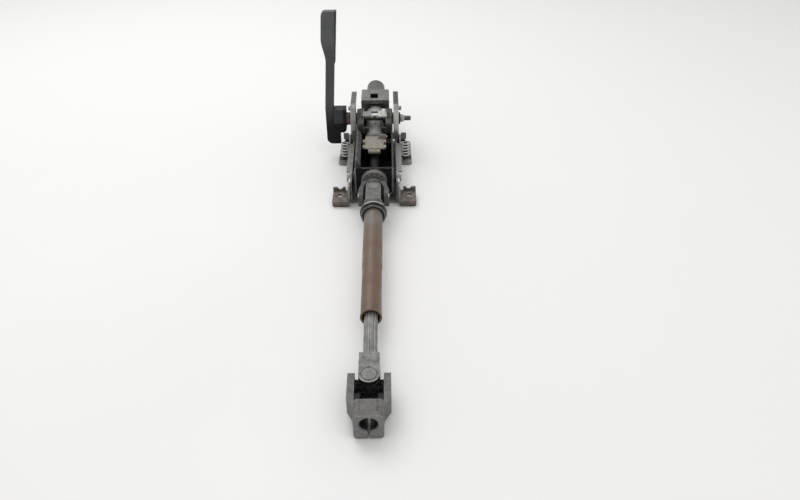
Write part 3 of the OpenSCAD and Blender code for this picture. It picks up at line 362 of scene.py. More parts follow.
def finish(name, colour, shade, metallic, rough, patch=60.0, wear=0.0, wear_radius=0.0009, wear_colour=None,
           rust=0.0, rust_scale=70.0, grime=0.0, corner_shade_depth=0.008, dust=0.0, grain=(900.0, 1.0), relief=0.15,
           relief_depth=0.0004, shine=0.5, zones=()):
    """A procedural finish: mottled colour, zones, rust, wear, stains, painted corner shade and dust over a fine
    relief.

    A zone is a colour and the bands that bound it. The shade of the mottling and the colour of a zone may each be
    a factor of the finish's own colour.
    """
    made = bpy.data.materials.get(name)
    if made is not None:
        return made
    made = bpy.data.materials.new(name)
    made.use_nodes = True
    tree = made.node_tree

    def own(value):
        return toned(colour, value) if isinstance(value, float) else value

    mottled = effect(tree, "Mottling", scale=patch)["Mask"]
    tone = layer(tree, colour, mottled, own(shade))
    for zone_colour, first, *others in zones:
        mask = effect(tree, "Band", **first)["Mask"]
        for limits in others:
            mask = math_node(tree, "MULTIPLY", mask, effect(tree, "Band", **limits)["Mask"])
        tone = layer(tree, tone, mask, own(zone_colour))
    gloss = spread(tree, mottled, 0.0, 1.0, max(0.05, rough - 0.07), min(1.0, rough + 0.10))
    height = effect(tree, "Grain", scale=grain[0], stretch=grain[1])["Height"]
    if rust:
        rusted = effect(tree, "Rust", scale=rust_scale, cover=rust)
        tone = layer(tree, tone, rusted["Mask"], rusted["Colour"])
        gloss = spread(tree, rusted["Mask"], 0.0, 1.0, gloss, ROUGH_RUST)
        metallic = spread(tree, rusted["Mask"], 0.0, 1.0, metallic, RUST_METALLIC)
        height = math_node(tree, "ADD", height, math_node(tree, "MULTIPLY", rusted["Mask"], RUST_HEIGHT))
    # Oily stains, and painted shade darkening the corners.
    if grime:
        grime_and_corner_shade = effect(tree, "Grime", scale=patch * GRIME_PER_PATCH, cover=grime, depth=corner_shade_depth)["Mask"]
        tone = layer(tree, tone, grime_and_corner_shade, tint("grime"))
        gloss = spread(tree, grime_and_corner_shade, 0.0, 1.0, gloss, ROUGH_GRIME)
    if wear:
        worn = effect(tree, "Edge wear", radius=wear_radius, reach=wear, scale=WEAR_SCALE)["Mask"]
        tone = layer(tree, tone, worn, wear_colour or tint("bright"))
        gloss = spread(tree, worn, 0.0, 1.0, gloss, ROUGH_BARE)
    if dust:
        tone = layer(tree, tone, effect(tree, "Dust", scale=DUST_SCALE, cover=dust)["Mask"], DUST_TONE)
    bump = tree.nodes.new("ShaderNodeBump")
    for socket, value in (("Strength", relief), ("Distance", relief_depth), ("Height", height)):
        feed(tree, bump.inputs[socket], value)
    shader = tree.nodes["Principled BSDF"]
    for socket, value in (("Base Color", tone), ("Metallic", metallic), ("Roughness", gloss),
                          ("Specular IOR Level", shine), ("Normal", bump.outputs["Normal"])):
        feed(tree, shader.inputs[socket], value)
    return made


# Finishes of this column


def galvanised_steel():
    # Painted shade: near black on the ribs beside the towers and on the feet behind the springs.
    rib_and_foot_shade = (0.030, 0.029, 0.027)
    right = band(RIGHT)
    tops = band(UP, 0.0948, blur=0.001)
    far = band(BACK, 0.168, blur=0.004)
    ribs = band(BACK, 0.1512, 0.1558)
    feet = band(DOWN, -0.0036)
    behind = band(BACK, 0.139, 0.153, 0.002)
    # Painted light: the towers' front faces are lightened, the right one much more as a painted highlight.
    back = band(BACK, 0.146, 0.1532, 0.001)
    middle = band(UP, 0.042, 0.0955, 0.002)
    return finish("galvanised steel", tint("galvanised"), 0.62, 0.5, 0.46, patch=110.0, wear=0.75, rust=0.22,
                  rust_scale=55.0, grime=0.55, corner_shade_depth=0.010, dust=0.2, grain=(700.0, 1.0),
                  zones=[(0.8, right, band(FRONT, -0.14)), (1.12, back, middle), (1.9, back, middle, right),
                         (0.3, tops, far), ((0.056, 0.042, 0.040), tops, far, right),
                         (rib_and_foot_shade, ribs, band(RIGHT, 0.0392)), (rib_and_foot_shade, ribs, band(LEFT, 0.0392)), (rib_and_foot_shade, feet, behind)])


def brown_steel():
    legs = band(UP, 0.0165, blur=0.002)
    return finish("brown steel", tint("ear"), 0.6, 0.35, 0.58, patch=120.0, wear=0.5, wear_colour=(0.42, 0.38, 0.34),
                  rust=0.34, rust_scale=90.0, grime=0.5, dust=0.3, zones=[(toned(tint("galvanised"), 0.8), legs)])


def black_painted_steel():
    front = band(-COLUMN_AXIS, -0.0066)
    inside = band(LEFT, 0.0281, 0.0289, 0.0001)
    return finish("black painted steel", tint("black_paint"), 1.9, 0.1, 0.45, patch=90.0, wear=0.95,
                  wear_radius=0.0008, wear_colour=(0.36, 0.36, 0.35), grime=0.3, dust=0.10, shine=0.3,
                  zones=[((0.20, 0.20, 0.195), front), ((0.075, 0.073, 0.070), inside)])


def plate_steel():
    boss = band(-COLUMN_AXIS, -0.0051)
    return finish("end plate steel", (0.008, 0.0075, 0.0075), (0.012, 0.011, 0.011), 0.1, 0.5, patch=100.0, wear=0.6,
                  grime=0.3, dust=0.02, shine=0.1, zones=[((0.155, 0.152, 0.147), boss)])


def arm_steel():
    return finish("spring arm steel", (0.135, 0.133, 0.127), 0.6, 0.3, 0.5, patch=150.0, wear=0.7, grime=0.35,
                  dust=0.2)


def strip_steel():
    return finish("folded strip steel", (0.088, 0.083, 0.077), 0.6, 0.3, 0.5, patch=120.0, wear=0.7, grime=0.4,
                  dust=0.15)


def phosphated_steel():
    return finish("phosphated steel", grey(0.050), 0.55, 0.4, 0.5, patch=100.0, wear=0.6, grime=0.45, dust=0.2)


def spring_steel():
    return finish("spring steel", (0.66, 0.65, 0.62), 0.7, 0.3, 0.4, patch=220.0, rust=0.18, rust_scale=130.0,
                  grime=0.3, corner_shade_depth=0.0015)


def bearing_steel():
    return finish("bearing steel", (0.30, 0.30, 0.295), 0.7, 0.7, 0.34, patch=150.0, grime=0.5, corner_shade_depth=0.005,
                  wear=0.5)


def cup_steel():
    return finish("cup steel", toned(tint("forged"), 1.15), 0.75, 0.4, 0.48, patch=260.0, grime=0.55,
                  corner_shade_depth=0.003, wear=0.7)


def zinc_plated_steel():
    return finish("zinc plated steel", (0.40, 0.40, 0.375), 0.62, 0.6, 0.38, patch=170.0, rust=0.16, wear=0.6,
                  grime=0.5, corner_shade_depth=0.005)


def rusty_steel():
    return finish("rusty steel", (0.17, 0.135, 0.11), 0.45, 0.35, 0.6, patch=160.0, rust=0.55, rust_scale=120.0,
                  grime=0.55, corner_shade_depth=0.006, relief=0.35)


def lever_plastic():
    # Painted shade: the lever is a little darker below 0.2 m and near black at its foot.
    foot = band(DOWN, -0.080, blur=0.030)
    arm = band(DOWN, -0.200, blur=0.012)
    paddle = band(UP, 0.157, blur=0.002)
    paddle_rim = band((1.0, 0.0, -0.045), -0.0722, blur=0.0004)
    arm_rim = band((1.0, 0.0, -0.1), -0.0813, blur=0.0004)
    return finish("lever plastic", tint("lever"), 1.2, 0.0, 0.46, patch=80.0, dust=0.05, wear=0.14,
                  wear_colour=(0.16, 0.16, 0.165), grain=(2600.0, 1.0), relief=0.22, relief_depth=0.0002, shine=0.2,
                  zones=[(0.8, arm), (0.36, paddle, paddle_rim), (0.36, arm, arm_rim), (grey(0.0035), foot)])


def hub_plastic():
    right = band(RIGHT, -0.0556, blur=0.0008)
    # Painted shade: the lower part of the hub is near black.
    low = band(DOWN, -0.0665, blur=0.0012)
    return finish("hub plastic", (0.032, 0.034, 0.038), (0.040, 0.043, 0.048), 0.0, 0.5, patch=120.0, wear=0.3,
                  wear_colour=(0.10, 0.10, 0.105), grain=(1800.0, 1.0), relief=0.2, relief_depth=0.0002, shine=0.2,
                  zones=[(grey(0.0045), right), (grey(0.0025), low)])


def black_plastic():
    return finish("black plastic", grey(0.012), grey(0.016), 0.0, 0.6, patch=80.0, shine=0.1)


def ivory_plastic():
    return finish("ivory plastic", (0.52, 0.49, 0.41), 0.8, 0.0, 0.45, patch=90.0, grime=0.5)


def cast_aluminium():
    dark = (0.048, 0.045, 0.041)
    under = band(UNDER_COLUMN, -0.0676, blur=0.0006)
    # Painted shadow: the notch under the stop pad is near black.
    notch = band(UNDER_COLUMN, -0.0716)
    # Painted highlight: the right lobe is lightened; the left lobe is darker.
    right_lobe, left_lobe = band(RIGHT, 0.0065, 0.0212, 0.0006), band(LEFT, 0.0068, 0.0212)
    right_end, left_end = band(RIGHT, 0.0215, blur=0.001), band(LEFT, 0.0205, blur=0.001)
    return finish("cast aluminium", tint("cast_metal"), 0.6, 0.3, 0.5, patch=130.0, grime=0.6, corner_shade_depth=0.009,
                  wear=0.6, grain=(520.0, 1.0), relief=0.4, relief_depth=0.0005,
                  zones=[(1.75, right_lobe), (0.6, left_lobe), (dark, right_end), (dark, left_end), (dark, under),
                         (grey(0.006), notch, band(RIGHT, -0.0058, 0.0058))])


def housing_casting():
    # Painted shade: the recess of the lock window is near black.
    window = band(UNDER_COLUMN, -0.0640, -0.0450, 0.0004), band(RIGHT, -0.0094, 0.0054), band(BACK, 0.2375, 0.2605)
    return finish("lock housing casting", tint("housing"), 0.75, 0.3, 0.5, patch=90.0, grime=0.6, wear=0.5,
                  grain=(620.0, 1.0), relief=0.35, relief_depth=0.0004, zones=[(grey(0.004), *window)])


def chromated_steel():
    return finish("chromated steel", tint("strap"), 0.78, 0.25, 0.48, patch=140.0, grime=0.55, corner_shade_depth=0.006,
                  wear=0.75, wear_colour=(0.62, 0.59, 0.52), rust=0.12)


def drawn_steel():
    # Painted shade: the front of the jacket, inside the box, is near black.
    front = band(FRONT, -0.121, blur=0.008)
    # Painted light: the jacket between the saddle and the lock housing is lightened.
    painted_light_band = band(BACK, 0.180, 0.245, 0.004)
    end = band(BACK, 0.262, blur=0.004)
    return finish("drawn steel", (0.32, 0.32, 0.31), 0.65, 0.35, 0.42, patch=90.0, grime=0.3, corner_shade_depth=0.004,
                  wear=0.6, wear_radius=0.0006, grain=(900.0, 18.0), relief=0.25,
                  zones=[(grey(0.014), front), ((0.48, 0.48, 0.465), painted_light_band), ((0.095, 0.098, 0.091), end)])


def shaft_steel():
    return finish("shaft steel", (0.20, 0.20, 0.195), 0.65, 0.6, 0.36, patch=90.0, grime=0.45, wear=0.5,
                  grain=(900.0, 18.0), relief=0.2)


def oiled_steel():
    return finish("oiled steel", grey(0.009), (0.018, 0.018, 0.017), 0.2, 0.5, patch=90.0, wear=0.2, shine=0.2)


def tube_steel():
    top = band(BACK, -0.140, blur=0.035)
    return finish("brown tube steel", tint("tube"), (0.150, 0.094, 0.066), 0.35, 0.45, patch=26.0, rust=0.13,
                  rust_scale=60.0, wear=0.45, grime=0.4, grain=(800.0, 14.0), relief=0.22,
                  zones=[((0.168, 0.148, 0.130), top)])


def fork_steel():
    # Painted shade: the front of the inner fork, up to 19.4 mm above the joint, is near black.
    below = band(-SHAFT_UP, -(LOWER_JOINT.dot(SHAFT_UP) + 0.0194), blur=0.0002)
    return finish("fork steel", toned(tint("forged"), 1.12), 0.62, 0.45, 0.45, patch=120.0, grime=0.5, wear=0.9,
                  grain=(520.0, 1.0), relief=0.3, shine=0.35,
                  zones=[((0.012, 0.012, 0.011), below, band(FRONT, 0.4015))])


def flute_steel():
    return finish("flute steel", toned(tint("forged"), 1.4), 0.68, 0.45, 0.42, patch=120.0, grime=0.5,
                  corner_shade_depth=0.003, wear=0.9, grain=(700.0, 12.0), relief=0.25)


def hoop_steel():
    return finish("hoop steel", toned(tint("forged"), 0.55), 0.6, 0.4, 0.45, patch=120.0, grime=0.6, wear=1.0,
                  grain=(520.0, 1.0), relief=0.3)


def light_forging():
    snout = band(FRONT, 0.0893, 0.0965, 0.0002)
    return finish("light forging", toned(tint("forged"), 0.9), 0.75, 0.45, 0.44, patch=110.0, grime=0.5, wear=1.0,
                  grain=(560.0, 1.0), relief=0.25, shine=0.3, zones=[(grey(0.010), snout)])


def cast_iron():
    mouth = band(FRONT, 0.4715, blur=0.0004)
    # Painted shade: the inside of the bore is near black.
    bore = (band(RIGHT, -0.0095, 0.0095), band(UP, LOWER_JOINT.z - 0.0100, LOWER_JOINT.z + 0.0092),
            band(FRONT, 0.4495, 0.4702))
    return finish("cast iron", tint("iron"), 1.7, 0.3, 0.55, patch=150.0, grime=0.5, wear=0.8,
                  wear_colour=(0.36, 0.355, 0.345), rust=0.10, rust_scale=90.0, grain=(330.0, 1.0), relief=0.75,
                  relief_depth=0.0007, dust=0.12, zones=[((0.185, 0.180, 0.172), mouth), (grey(0.008), *bore)])


def black_rubber():
    return finish("black rubber", (0.009, 0.009, 0.010), 2.0, 0.0, 0.7, patch=130.0, dust=0.12)


# Near white: the weld beads, and painted highlights on the stop pad and the edge arcs.
def bright_metal_and_highlight():
    return finish("bright machined metal", (0.90, 0.90, 0.88), 0.85, 0.2, 0.35, patch=200.0, grime=0.1,
                  corner_shade_depth=0.002, grain=(1000.0, 8.0))


# Near black: the dark grooves and staked marks, and painted shade on the pinion yoke's gussets.
def groove_dirt_and_shade():
    return finish("groove dirt", (0.012, 0.011, 0.010), (0.022, 0.020, 0.018), 0.0, 0.8, patch=300.0)


# Mesh building


def add_mesh(name, verts, faces, material):
    """A mesh object in the scene, with one material."""
    mesh = bpy.data.meshes.new(name)
    mesh.from_pydata([tuple(v) for v in verts], [], faces)
    mesh.validate()
    mesh.update()
    mesh.materials.append(material)
    made = bpy.data.objects.new(name, mesh)
    bpy.context.scene.collection.objects.link(made)
    return made


def new_piece(name, shape, body, material, smooth=40.0):
    """A piece of vertices and faces in the row frame. It rides on a body, if one is given."""
    made = add_mesh(name, *shape, material)
    made.data.shade_smooth()
    made.data.set_sharp_from_angle(angle=math.radians(smooth))
    if body:
        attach(made, body)
    return made


def skin(rings, closed=False):
    """Vertices and faces of a skin over rings of equally many points, with its ends shut."""
    count = len(rings[0])
    verts = [p for ring in rings for p in ring]
    faces = []
    steps = len(rings) if closed else len(rings) - 1
    for i in range(steps):
        low, high = i * count, (i + 1) % len(rings) * count
        for k in range(count):
            after = (k + 1) % count
            faces.append((low + k, low + after, high + after, high + k))
    if not closed:
        faces.append(tuple(range(count - 1, -1, -1)))
        faces.append(tuple(range(len(verts) - count, len(verts))))
    return verts, faces


def joined(parts):
    """Several vertex and face lists as one."""
    verts, faces = [], []
    for part_verts, part_faces in parts:
        base = len(verts)
        verts.extend(part_verts)
        faces.extend(tuple(base + i for i in face) for face in part_faces)
    return verts, faces


def swept(path, radius, sides):
    """A round wire along a path. radius is a number or a function of the share of the way."""
    rings = []
    side = None
    last = len(path) - 1
    for i, point in enumerate(path):
        along = (path[min(i + 1, last)] - path[max(i - 1, 0)]).normalized()
        if side is None:
            side = along.orthogonal().normalized()
        side = (side - along * side.dot(along)).normalized()
        up = along.cross(side)
        r = radius(i / last) if callable(radius) else radius
        rings.append([
            point + r * (math.cos(a) * side + math.sin(a) * up)
            for a in (2 * math.pi * k / sides for k in range(sides))
        ])
    return skin(rings)


def in_mm(profile):
    """A profile drawn in millimetres, in metres."""
    return [(along * MM, r * MM) for along, r in profile]


def turned(origin, axis, profile, sides, middle=None, sweep=360):
    """A ring, or an arc of it about a middle direction, turned from a closed profile of (along, radius) points."""
    axis = axis.normalized()
    side = (middle or axis.orthogonal()).normalized()
    up = axis.cross(side)
    whole = sweep >= 360
    rings = []
    for k in range(sides if whole else sides + 1):
        a = math.radians(sweep) * (k / sides - 0.5)
        out = math.cos(a) * side + math.sin(a) * up
        rings.append([origin + axis * along + out * r for along, r in profile])
    return skin(rings, closed=whole)


def prism(outline, way, levels):
    """A plate over an outline of points in one plane, at levels of (millimetres along a way, scale)."""
    middle = sum(outline, Vector()) / len(outline)
    return skin([[middle + (p - middle) * scale + way * along * MM for p in outline] for along, scale in levels])


def staked_mark(start, out, across, up, widths, rise, sink):
    """A staked mark along a way out, from steps of (along, half the width), all in millimetres."""
    rings = []
    for along, half in widths:
        mid = start + out * along * MM
        side = across * half * MM
        rings.append([mid - side, mid + up * rise * MM, mid + side, mid - up * sink * MM])
    return skin(rings)


def helix_thread(origin, axis, radius, length, pitch, depth, steps=20):
    """A V thread wound on a rod, with so many steps to a turn."""
    axis = axis.normalized()
    side = axis.orthogonal().normalized()
    up = axis.cross(side)
    flank, root = axis * pitch * 0.46, radius - depth * 0.2
    turns = length / pitch
    count = int(turns * steps)
    rings = []
    for i in range(count + 1):
        turn = turns * i / count
        a = 2 * math.pi * turn
        out = math.cos(a) * side + math.sin(a) * up
        fade = min(1.0, i / steps, (count - i) / steps)
        middle = origin + axis * (pitch * turn)
        crest = radius + depth * fade
        rings.append([middle - flank + out * root, middle + out * crest, middle + flank + out * root])
    return skin(rings)


def dress(names, material, edge=None, segments=2):
    """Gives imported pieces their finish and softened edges."""
    for name in names:
        node = NODES[name]
        node.data.materials.clear()
        node.data.materials.append(material)
        weld = node.modifiers.new("Weld", "WELD")
        weld.merge_threshold = 1e-6
        bevel = node.modifiers.new("Edges", "BEVEL")
        bevel.width = edge or sizes().edge_round
        bevel.segments = segments
        bevel.limit_method = "ANGLE"
        bevel.angle_limit = math.radians(35)
        node.modifiers.new("Normals", "WEIGHTED_NORMAL")
        node.data.shade_smooth()


def weld_bead(name, start, end, body, material):
    """A rippled weld bead between two points."""
    steps, ripples, depth = 40, 75, 0.13
    size = sizes().weld_radius

    def ripple(share):
        ends = min(1.0, 0.35 + 8 * min(share, 1 - share))
        return size * ends * (1.0 + depth * math.sin(share * ripples))

    path = [start.lerp(end, i / steps) for i in range(steps + 1)]
    return new_piece(name, swept(path, ripple, 12), body, material)


class COLUMN_OT_bracket(bpy.types.Operator):
    """Finish the mounting bracket, its ears and the pivot pins, and add the stop pins, welds and lips"""

    bl_idname = "column.bracket"
    bl_label = "Mounting Bracket"

    def execute(self, context):
        dress(["mounting_bracket"], galvanised_steel(), 0.7 * MM)
        dress(["left_ear", "right_ear"], brown_steel(), 0.7 * MM)
        dress(["pivot_pins"], zinc_plated_steel(), 1.0 * MM, 3)
        self.stop_pins()
        self.ear_welds()
        self.ear_lips()
        return {"FINISHED"}

    def stop_pins(self):
        """Grooved pin heads on the outer face of both towers."""
        r = sizes().pin_radius
        wall, y, z, reach = 38.5 * MM, 190 * MM, 80 * MM, 9.0 * MM
        profile = [(0, 0.3 * r), (0, 0.7 * r), (0.35 * reach, 0.7 * r), (0.45 * reach, r), (0.9 * reach, r),
                   (reach, 0.8 * r), (reach, 0.45 * r), (0.85 * reach, 0.3 * r)]
        parts = [turned(Vector((side * wall, y, z)), side * RIGHT, profile, 28) for side in SIDES]
        new_piece("stop_pins", joined(parts), "bracket", zinc_plated_steel())

    def ear_welds(self):
        """Weld beads along the top of each ear's leg."""
        for name, side in (("right_ear", 1), ("left_ear", -1)):
            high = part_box(name)[1]
            ends = [Vector((side * 38.7 * MM, high.y - back * MM, high.z)) for back in (2, 22)]
            weld_bead(name + "_weld", *ends, "bracket", bright_metal_and_highlight())

    def ear_lips(self):
        """The front edge of each ear, bent down towards the floor."""
        low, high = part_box("right_ear")
        front, top, foot = low.y - 0.4 * MM, low.z + 2.9 * MM, -9.0
        bend = [(2.6, 0.0), (1.0, -0.2), (0.2, -1.0), (0.0, -2.2), (0.0, -8.4), (0.4, foot), (2.2, foot), (2.5, -8.4),
                (2.5, -3.2), (2.6, -3.0)]
        lifts = ((low.x + 2 * MM, 1.8), (low.x + 3 * MM, 0.4), (low.x + 5 * MM, 0.0), (high.x - 3.5 * MM, 0.0),
                 (high.x - 1.5 * MM, 0.6), (high.x - 0.4 * MM, 2.4))
        parts = []
        for side in SIDES:
            rings = [[Vector((side * x, front + y * MM, top + max(z, foot + lift) * MM)) for y, z in bend]
                     for x, lift in lifts]
            parts.append(skin(rings))
        new_piece("ear_lips", joined(parts), "bracket", brown_steel())


class COLUMN_OT_box(bpy.types.Operator):
    """Finish the tilting box, its end plate, guides and spring arms, and add its folded strip"""

    bl_idname = "column.box"
    bl_label = "Tilting Box"

    def execute(self, context):
        dress(["box_channel"], black_painted_steel(), 0.45 * MM)
        dress(["end_plate"], plate_steel(), 0.7 * MM)
        dress(["spring_arms"], arm_steel(), 0.6 * MM)
        dress(["pivot_spacers"], phosphated_steel(), 0.6 * MM)
        dress(["clamp_spacers"], rusty_steel(), 0.6 * MM)
        dress(["front_guide", "rear_guide"], black_plastic())
        dress(["lower_bearing"], bearing_steel())
        self.folded_strip()
        self.peening()
        return {"FINISHED"}

    def folded_strip(self):
        """The strip folded in along the left wall, between the end plate and the saddle."""
        outline = [(-28.7, 34.3), (-27.4, 34.7), (-21.6, 25.5), (-21.6, 21), (-28.7, 21)]
        points = [PIVOT + RIGHT * x * MM + COLUMN_UP * up * MM for x, up in outline]
        strip = prism(points, COLUMN_AXIS, ((-5.2, 0.99), (-4.6, 1), (95.4, 1), (96, 0.99)))
        new_piece("folded_strip", strip, "column_box", strip_steel(), smooth=30)

    def peening(self):
        """Staked marks round the bearing, on the front of the boss."""
        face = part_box("end_plate")[0].y
        middle = Vector((0, face, PIVOT.z + (face - PIVOT.y) * COLUMN_AXIS.z))
        widths = ((15.2, 0.25), (17.04, 0.55), (18.65, 0.45), (19.8, 0.1))
        parts = []
        for turn in (-64, -38, -12, 17, 42, 66):
            a = math.radians(turn)
            out = math.sin(a) * RIGHT + math.cos(a) * COLUMN_UP
            across = math.cos(a) * RIGHT - math.sin(a) * COLUMN_UP
            parts.append(staked_mark(middle, out, across, -COLUMN_AXIS, widths, 0.12, 0.4))
        new_piece("boss_peening", joined(parts), "column_box", groove_dirt_and_shade())


class COLUMN_OT_springs(bpy.types.Operator):
    """Wind the two balance springs between the bracket and the box"""

    bl_idname = "column.springs"
    bl_label = "Balance Springs"

    def execute(self, context):
        for name, side in (("right_balance_spring", 1), ("left_balance_spring", -1)):
            path = [Vector((side * p.x, p.y, p.z)) for p in self.wire_path()]
            spring = new_piece(
                name.replace("_balance_spring", "_spring_wire"), swept(path, sizes().wire_radius, 12),
                None, spring_steel())
            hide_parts(name)
            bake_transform(spring)
        return {"FINISHED"}

    def wire_path(self):
        """The wire of the right spring: foot hook, bend, coils, bend, arm hook."""
        low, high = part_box("right_balance_spring")
        wire = sizes().wire_radius
        coils = sizes().spring_coils
        coil_r = (high.x - low.x) / 2 - wire
        coil_x = (low.x + high.x) / 2
        hook_x = coil_x - coil_r
        coil_y, coil_z, coil_h = 138 * MM, 11 * MM, 28 * MM
        bend_r, foot_r, hook_r = 2 * MM, 3.5 * MM, 4.5 * MM
        hook_z = high.z - wire - hook_r

        def arc(y, z, radius, turns):
            """Points at so many degrees about a point in the plane of the hooks."""
            return [Vector((hook_x, y + radius * math.cos(a), z + radius * math.sin(a)))
                    for a in map(math.radians, turns)]

        path = arc(coil_y - bend_r - foot_r, coil_z - bend_r, foot_r, range(180, 331, 15))
        path += arc(coil_y, coil_z - bend_r, bend_r, range(180, 119, -15))
        steps = coils * 28
        for i in range(steps + 1):
            t = 2 * math.pi * coils * i / steps
            path.append(Vector((coil_x - coil_r * math.cos(t), coil_y + coil_r * math.sin(t),
                                coil_z + coil_h * i / steps)))
        path += arc(coil_y, coil_z + coil_h + bend_r, bend_r, range(-60, 1, 15))
        path += arc(coil_y + bend_r + hook_r, hook_z, hook_r, range(180, -31, -15))
        return path


class COLUMN_OT_clamp(bpy.types.Operator):
    """Finish the clamp bolt and its rings, and add the nut's plate and crown and the stud's thread"""

    bl_idname = "column.clamp"
    bl_label = "Clamp"

    def execute(self, context):
        dress(["clamp_bolt"], phosphated_steel(), 0.5 * MM)
        dress(["clamp_washer"], oiled_steel(), 0.5 * MM)
        dress(["clamp_nut"], zinc_plated_steel(), 0.5 * MM)
        dress(["fixed_cam", "moving_cam"], rusty_steel(), 0.8 * MM)
        self.lock_plate()
        self.nut_crown()
        self.stud_thread()
        return {"FINISHED"}

    def lock_plate(self):
        """The dark plate that keeps the nut from turning."""
        start = Vector((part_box("clamp_nut")[0].x, CLAMP.y, CLAMP.z))
        profile = [(1.2, 6.4), (1.2, 9.8), (1.7, 10.4), (3.2, 10.4), (3.7, 9.8), (3.7, 6.4)]
        plate = turned(start, RIGHT, in_mm(profile), 40)
        new_piece("lock_plate", plate, "column_box", oiled_steel())

    def nut_crown(self):
        """The tapered locking crown on the outer end of the nut."""
        start = Vector((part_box("clamp_nut")[1].x, CLAMP.y, CLAMP.z))
        profile = [(-0.2, 4.5), (-0.2, 6.4), (0.4, 6.4), (1.0, 6.0), (3.0, 5.2), (3.6, 5.0), (3.8, 4.7), (3.8, 4.5)]
        crown = turned(start, RIGHT, in_mm(profile), 36)
        new_piece("nut_crown", crown, "column_box", zinc_plated_steel())

    def stud_thread(self):
        """The thread of the stud, outside the nut."""
        start = Vector((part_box("clamp_nut")[1].x + 4.2 * MM, CLAMP.y, CLAMP.z))
        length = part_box("clamp_bolt")[1].x - start.x - 0.6 * MM
        thread = helix_thread(start, RIGHT, 4.0 * MM, length, sizes().thread_pitch, 0.35 * MM)
        new_piece("stud_thread", thread, "column_box", phosphated_steel(), smooth=30)


class COLUMN_OT_lever(bpy.types.Operator):
    """Finish the adjusting lever and its hub"""

    bl_idname = "column.lever"
    bl_label = "Adjusting Lever"

    def execute(self, context):
        dress(["lever_hub"], hub_plastic(), 1.6 * MM, 4)
        dress(["lever_handle"], lever_plastic(), 2.2 * MM, 5)
        return {"FINISHED"}


class COLUMN_OT_jacket(bpy.types.Operator):
    """Finish the jacket tube, its saddle, strap and lock housing"""

    bl_idname = "column.jacket"
    bl_label = "Jacket"

    def execute(self, context):
        dress(["jacket_tube"], drawn_steel(), 0.5 * MM)
        dress(["telescope_saddle"], cast_aluminium(), 1.2 * MM, 3)
        dress(["crash_strap", "strap_roller"], chromated_steel(), 0.5 * MM)
        dress(["lock_housing"], housing_casting(), 1.2 * MM, 3)
        dress(["inner_bush"], ivory_plastic())
        dress(["upper_bearing"], bearing_steel())
        self.stop_pad()
        self.housing_spigot()
        return {"FINISHED"}

    def stop_pad(self):
        """A pad at the back of the saddle's notch, near white as a painted highlight."""
        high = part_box("telescope_saddle")[1].z - 8.3 * MM
        half, arch, drop = 5.8 * MM, 3.6 * MM, -5.0 * MM
        turns = [math.pi * k / 10 for k in range(11)]
        arched = [(arch * math.cos(a), arch * math.sin(a) * 0.7 + drop) for a in turns]
        outline = [(-half, 0), (half, 0), (half, drop), *arched, (-half, drop)]
        rings = []
        for y, sink in ((161.5, 0.9), (162.1, 0.2), (166.0, 0.0)):
            rings.append([Vector((x, y * MM, high + z - sink * MM)) for x, z in outline])
        new_piece("stop_pad", skin(rings), "jacket", bright_metal_and_highlight(), smooth=30)

    def housing_spigot(self):
        """The arc of a ring under the housing's lip, on the jacket."""
        middle = on_axis(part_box("lock_housing")[0].y + 4.2 * MM)
        profile = [(0.6, 17.7), (0.0, 18.3), (0.0, 21.9), (0.6, 22.5), (4.6, 22.5), (4.6, 17.7)]
        ring = turned(middle, COLUMN_AXIS, in_mm(profile), 40, COLUMN_UP, 130)
        new_piece("housing_spigot", ring, "jacket", cast_aluminium())


class COLUMN_OT_shafts(bpy.types.Operator):
    """Finish the steering shafts and tooth the wheel seat"""

    bl_idname = "column.shafts"
    bl_label = "Steering Shafts"

    def execute(self, context):
        dress(["upper_shaft"], shaft_steel(), 0.4 * MM)
        dress(["lower_shaft", "retaining_ring", "lock_collar"], oiled_steel(), 0.4 * MM)
        self.wheel_seat()
        return {"FINISHED"}

    def wheel_seat(self):
        """Teeth round the wheel seat."""
        start = on_axis(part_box("upper_shaft")[1].y) - COLUMN_AXIS * 18 * MM
        root = 8.42 * MM
        teeth = sizes().seat_teeth
        rings = []
        for along, swell in ((0, 0.0), (1.2, 0.30), (10.6, 0.30), (11.6, 0.0)):
            ring = []
            for k in range(4 * teeth):
                a = math.pi * k / (2 * teeth)
                r = root + swell * MM * (1 if k % 4 in (1, 2) else 0)
                ring.append(start + COLUMN_AXIS * along * MM + r * (math.cos(a) * RIGHT + math.sin(a) * COLUMN_UP))
            rings.append(ring)
        new_piece("seat_teeth", skin(rings), "upper_steering_shaft", shaft_steel(), smooth=25)


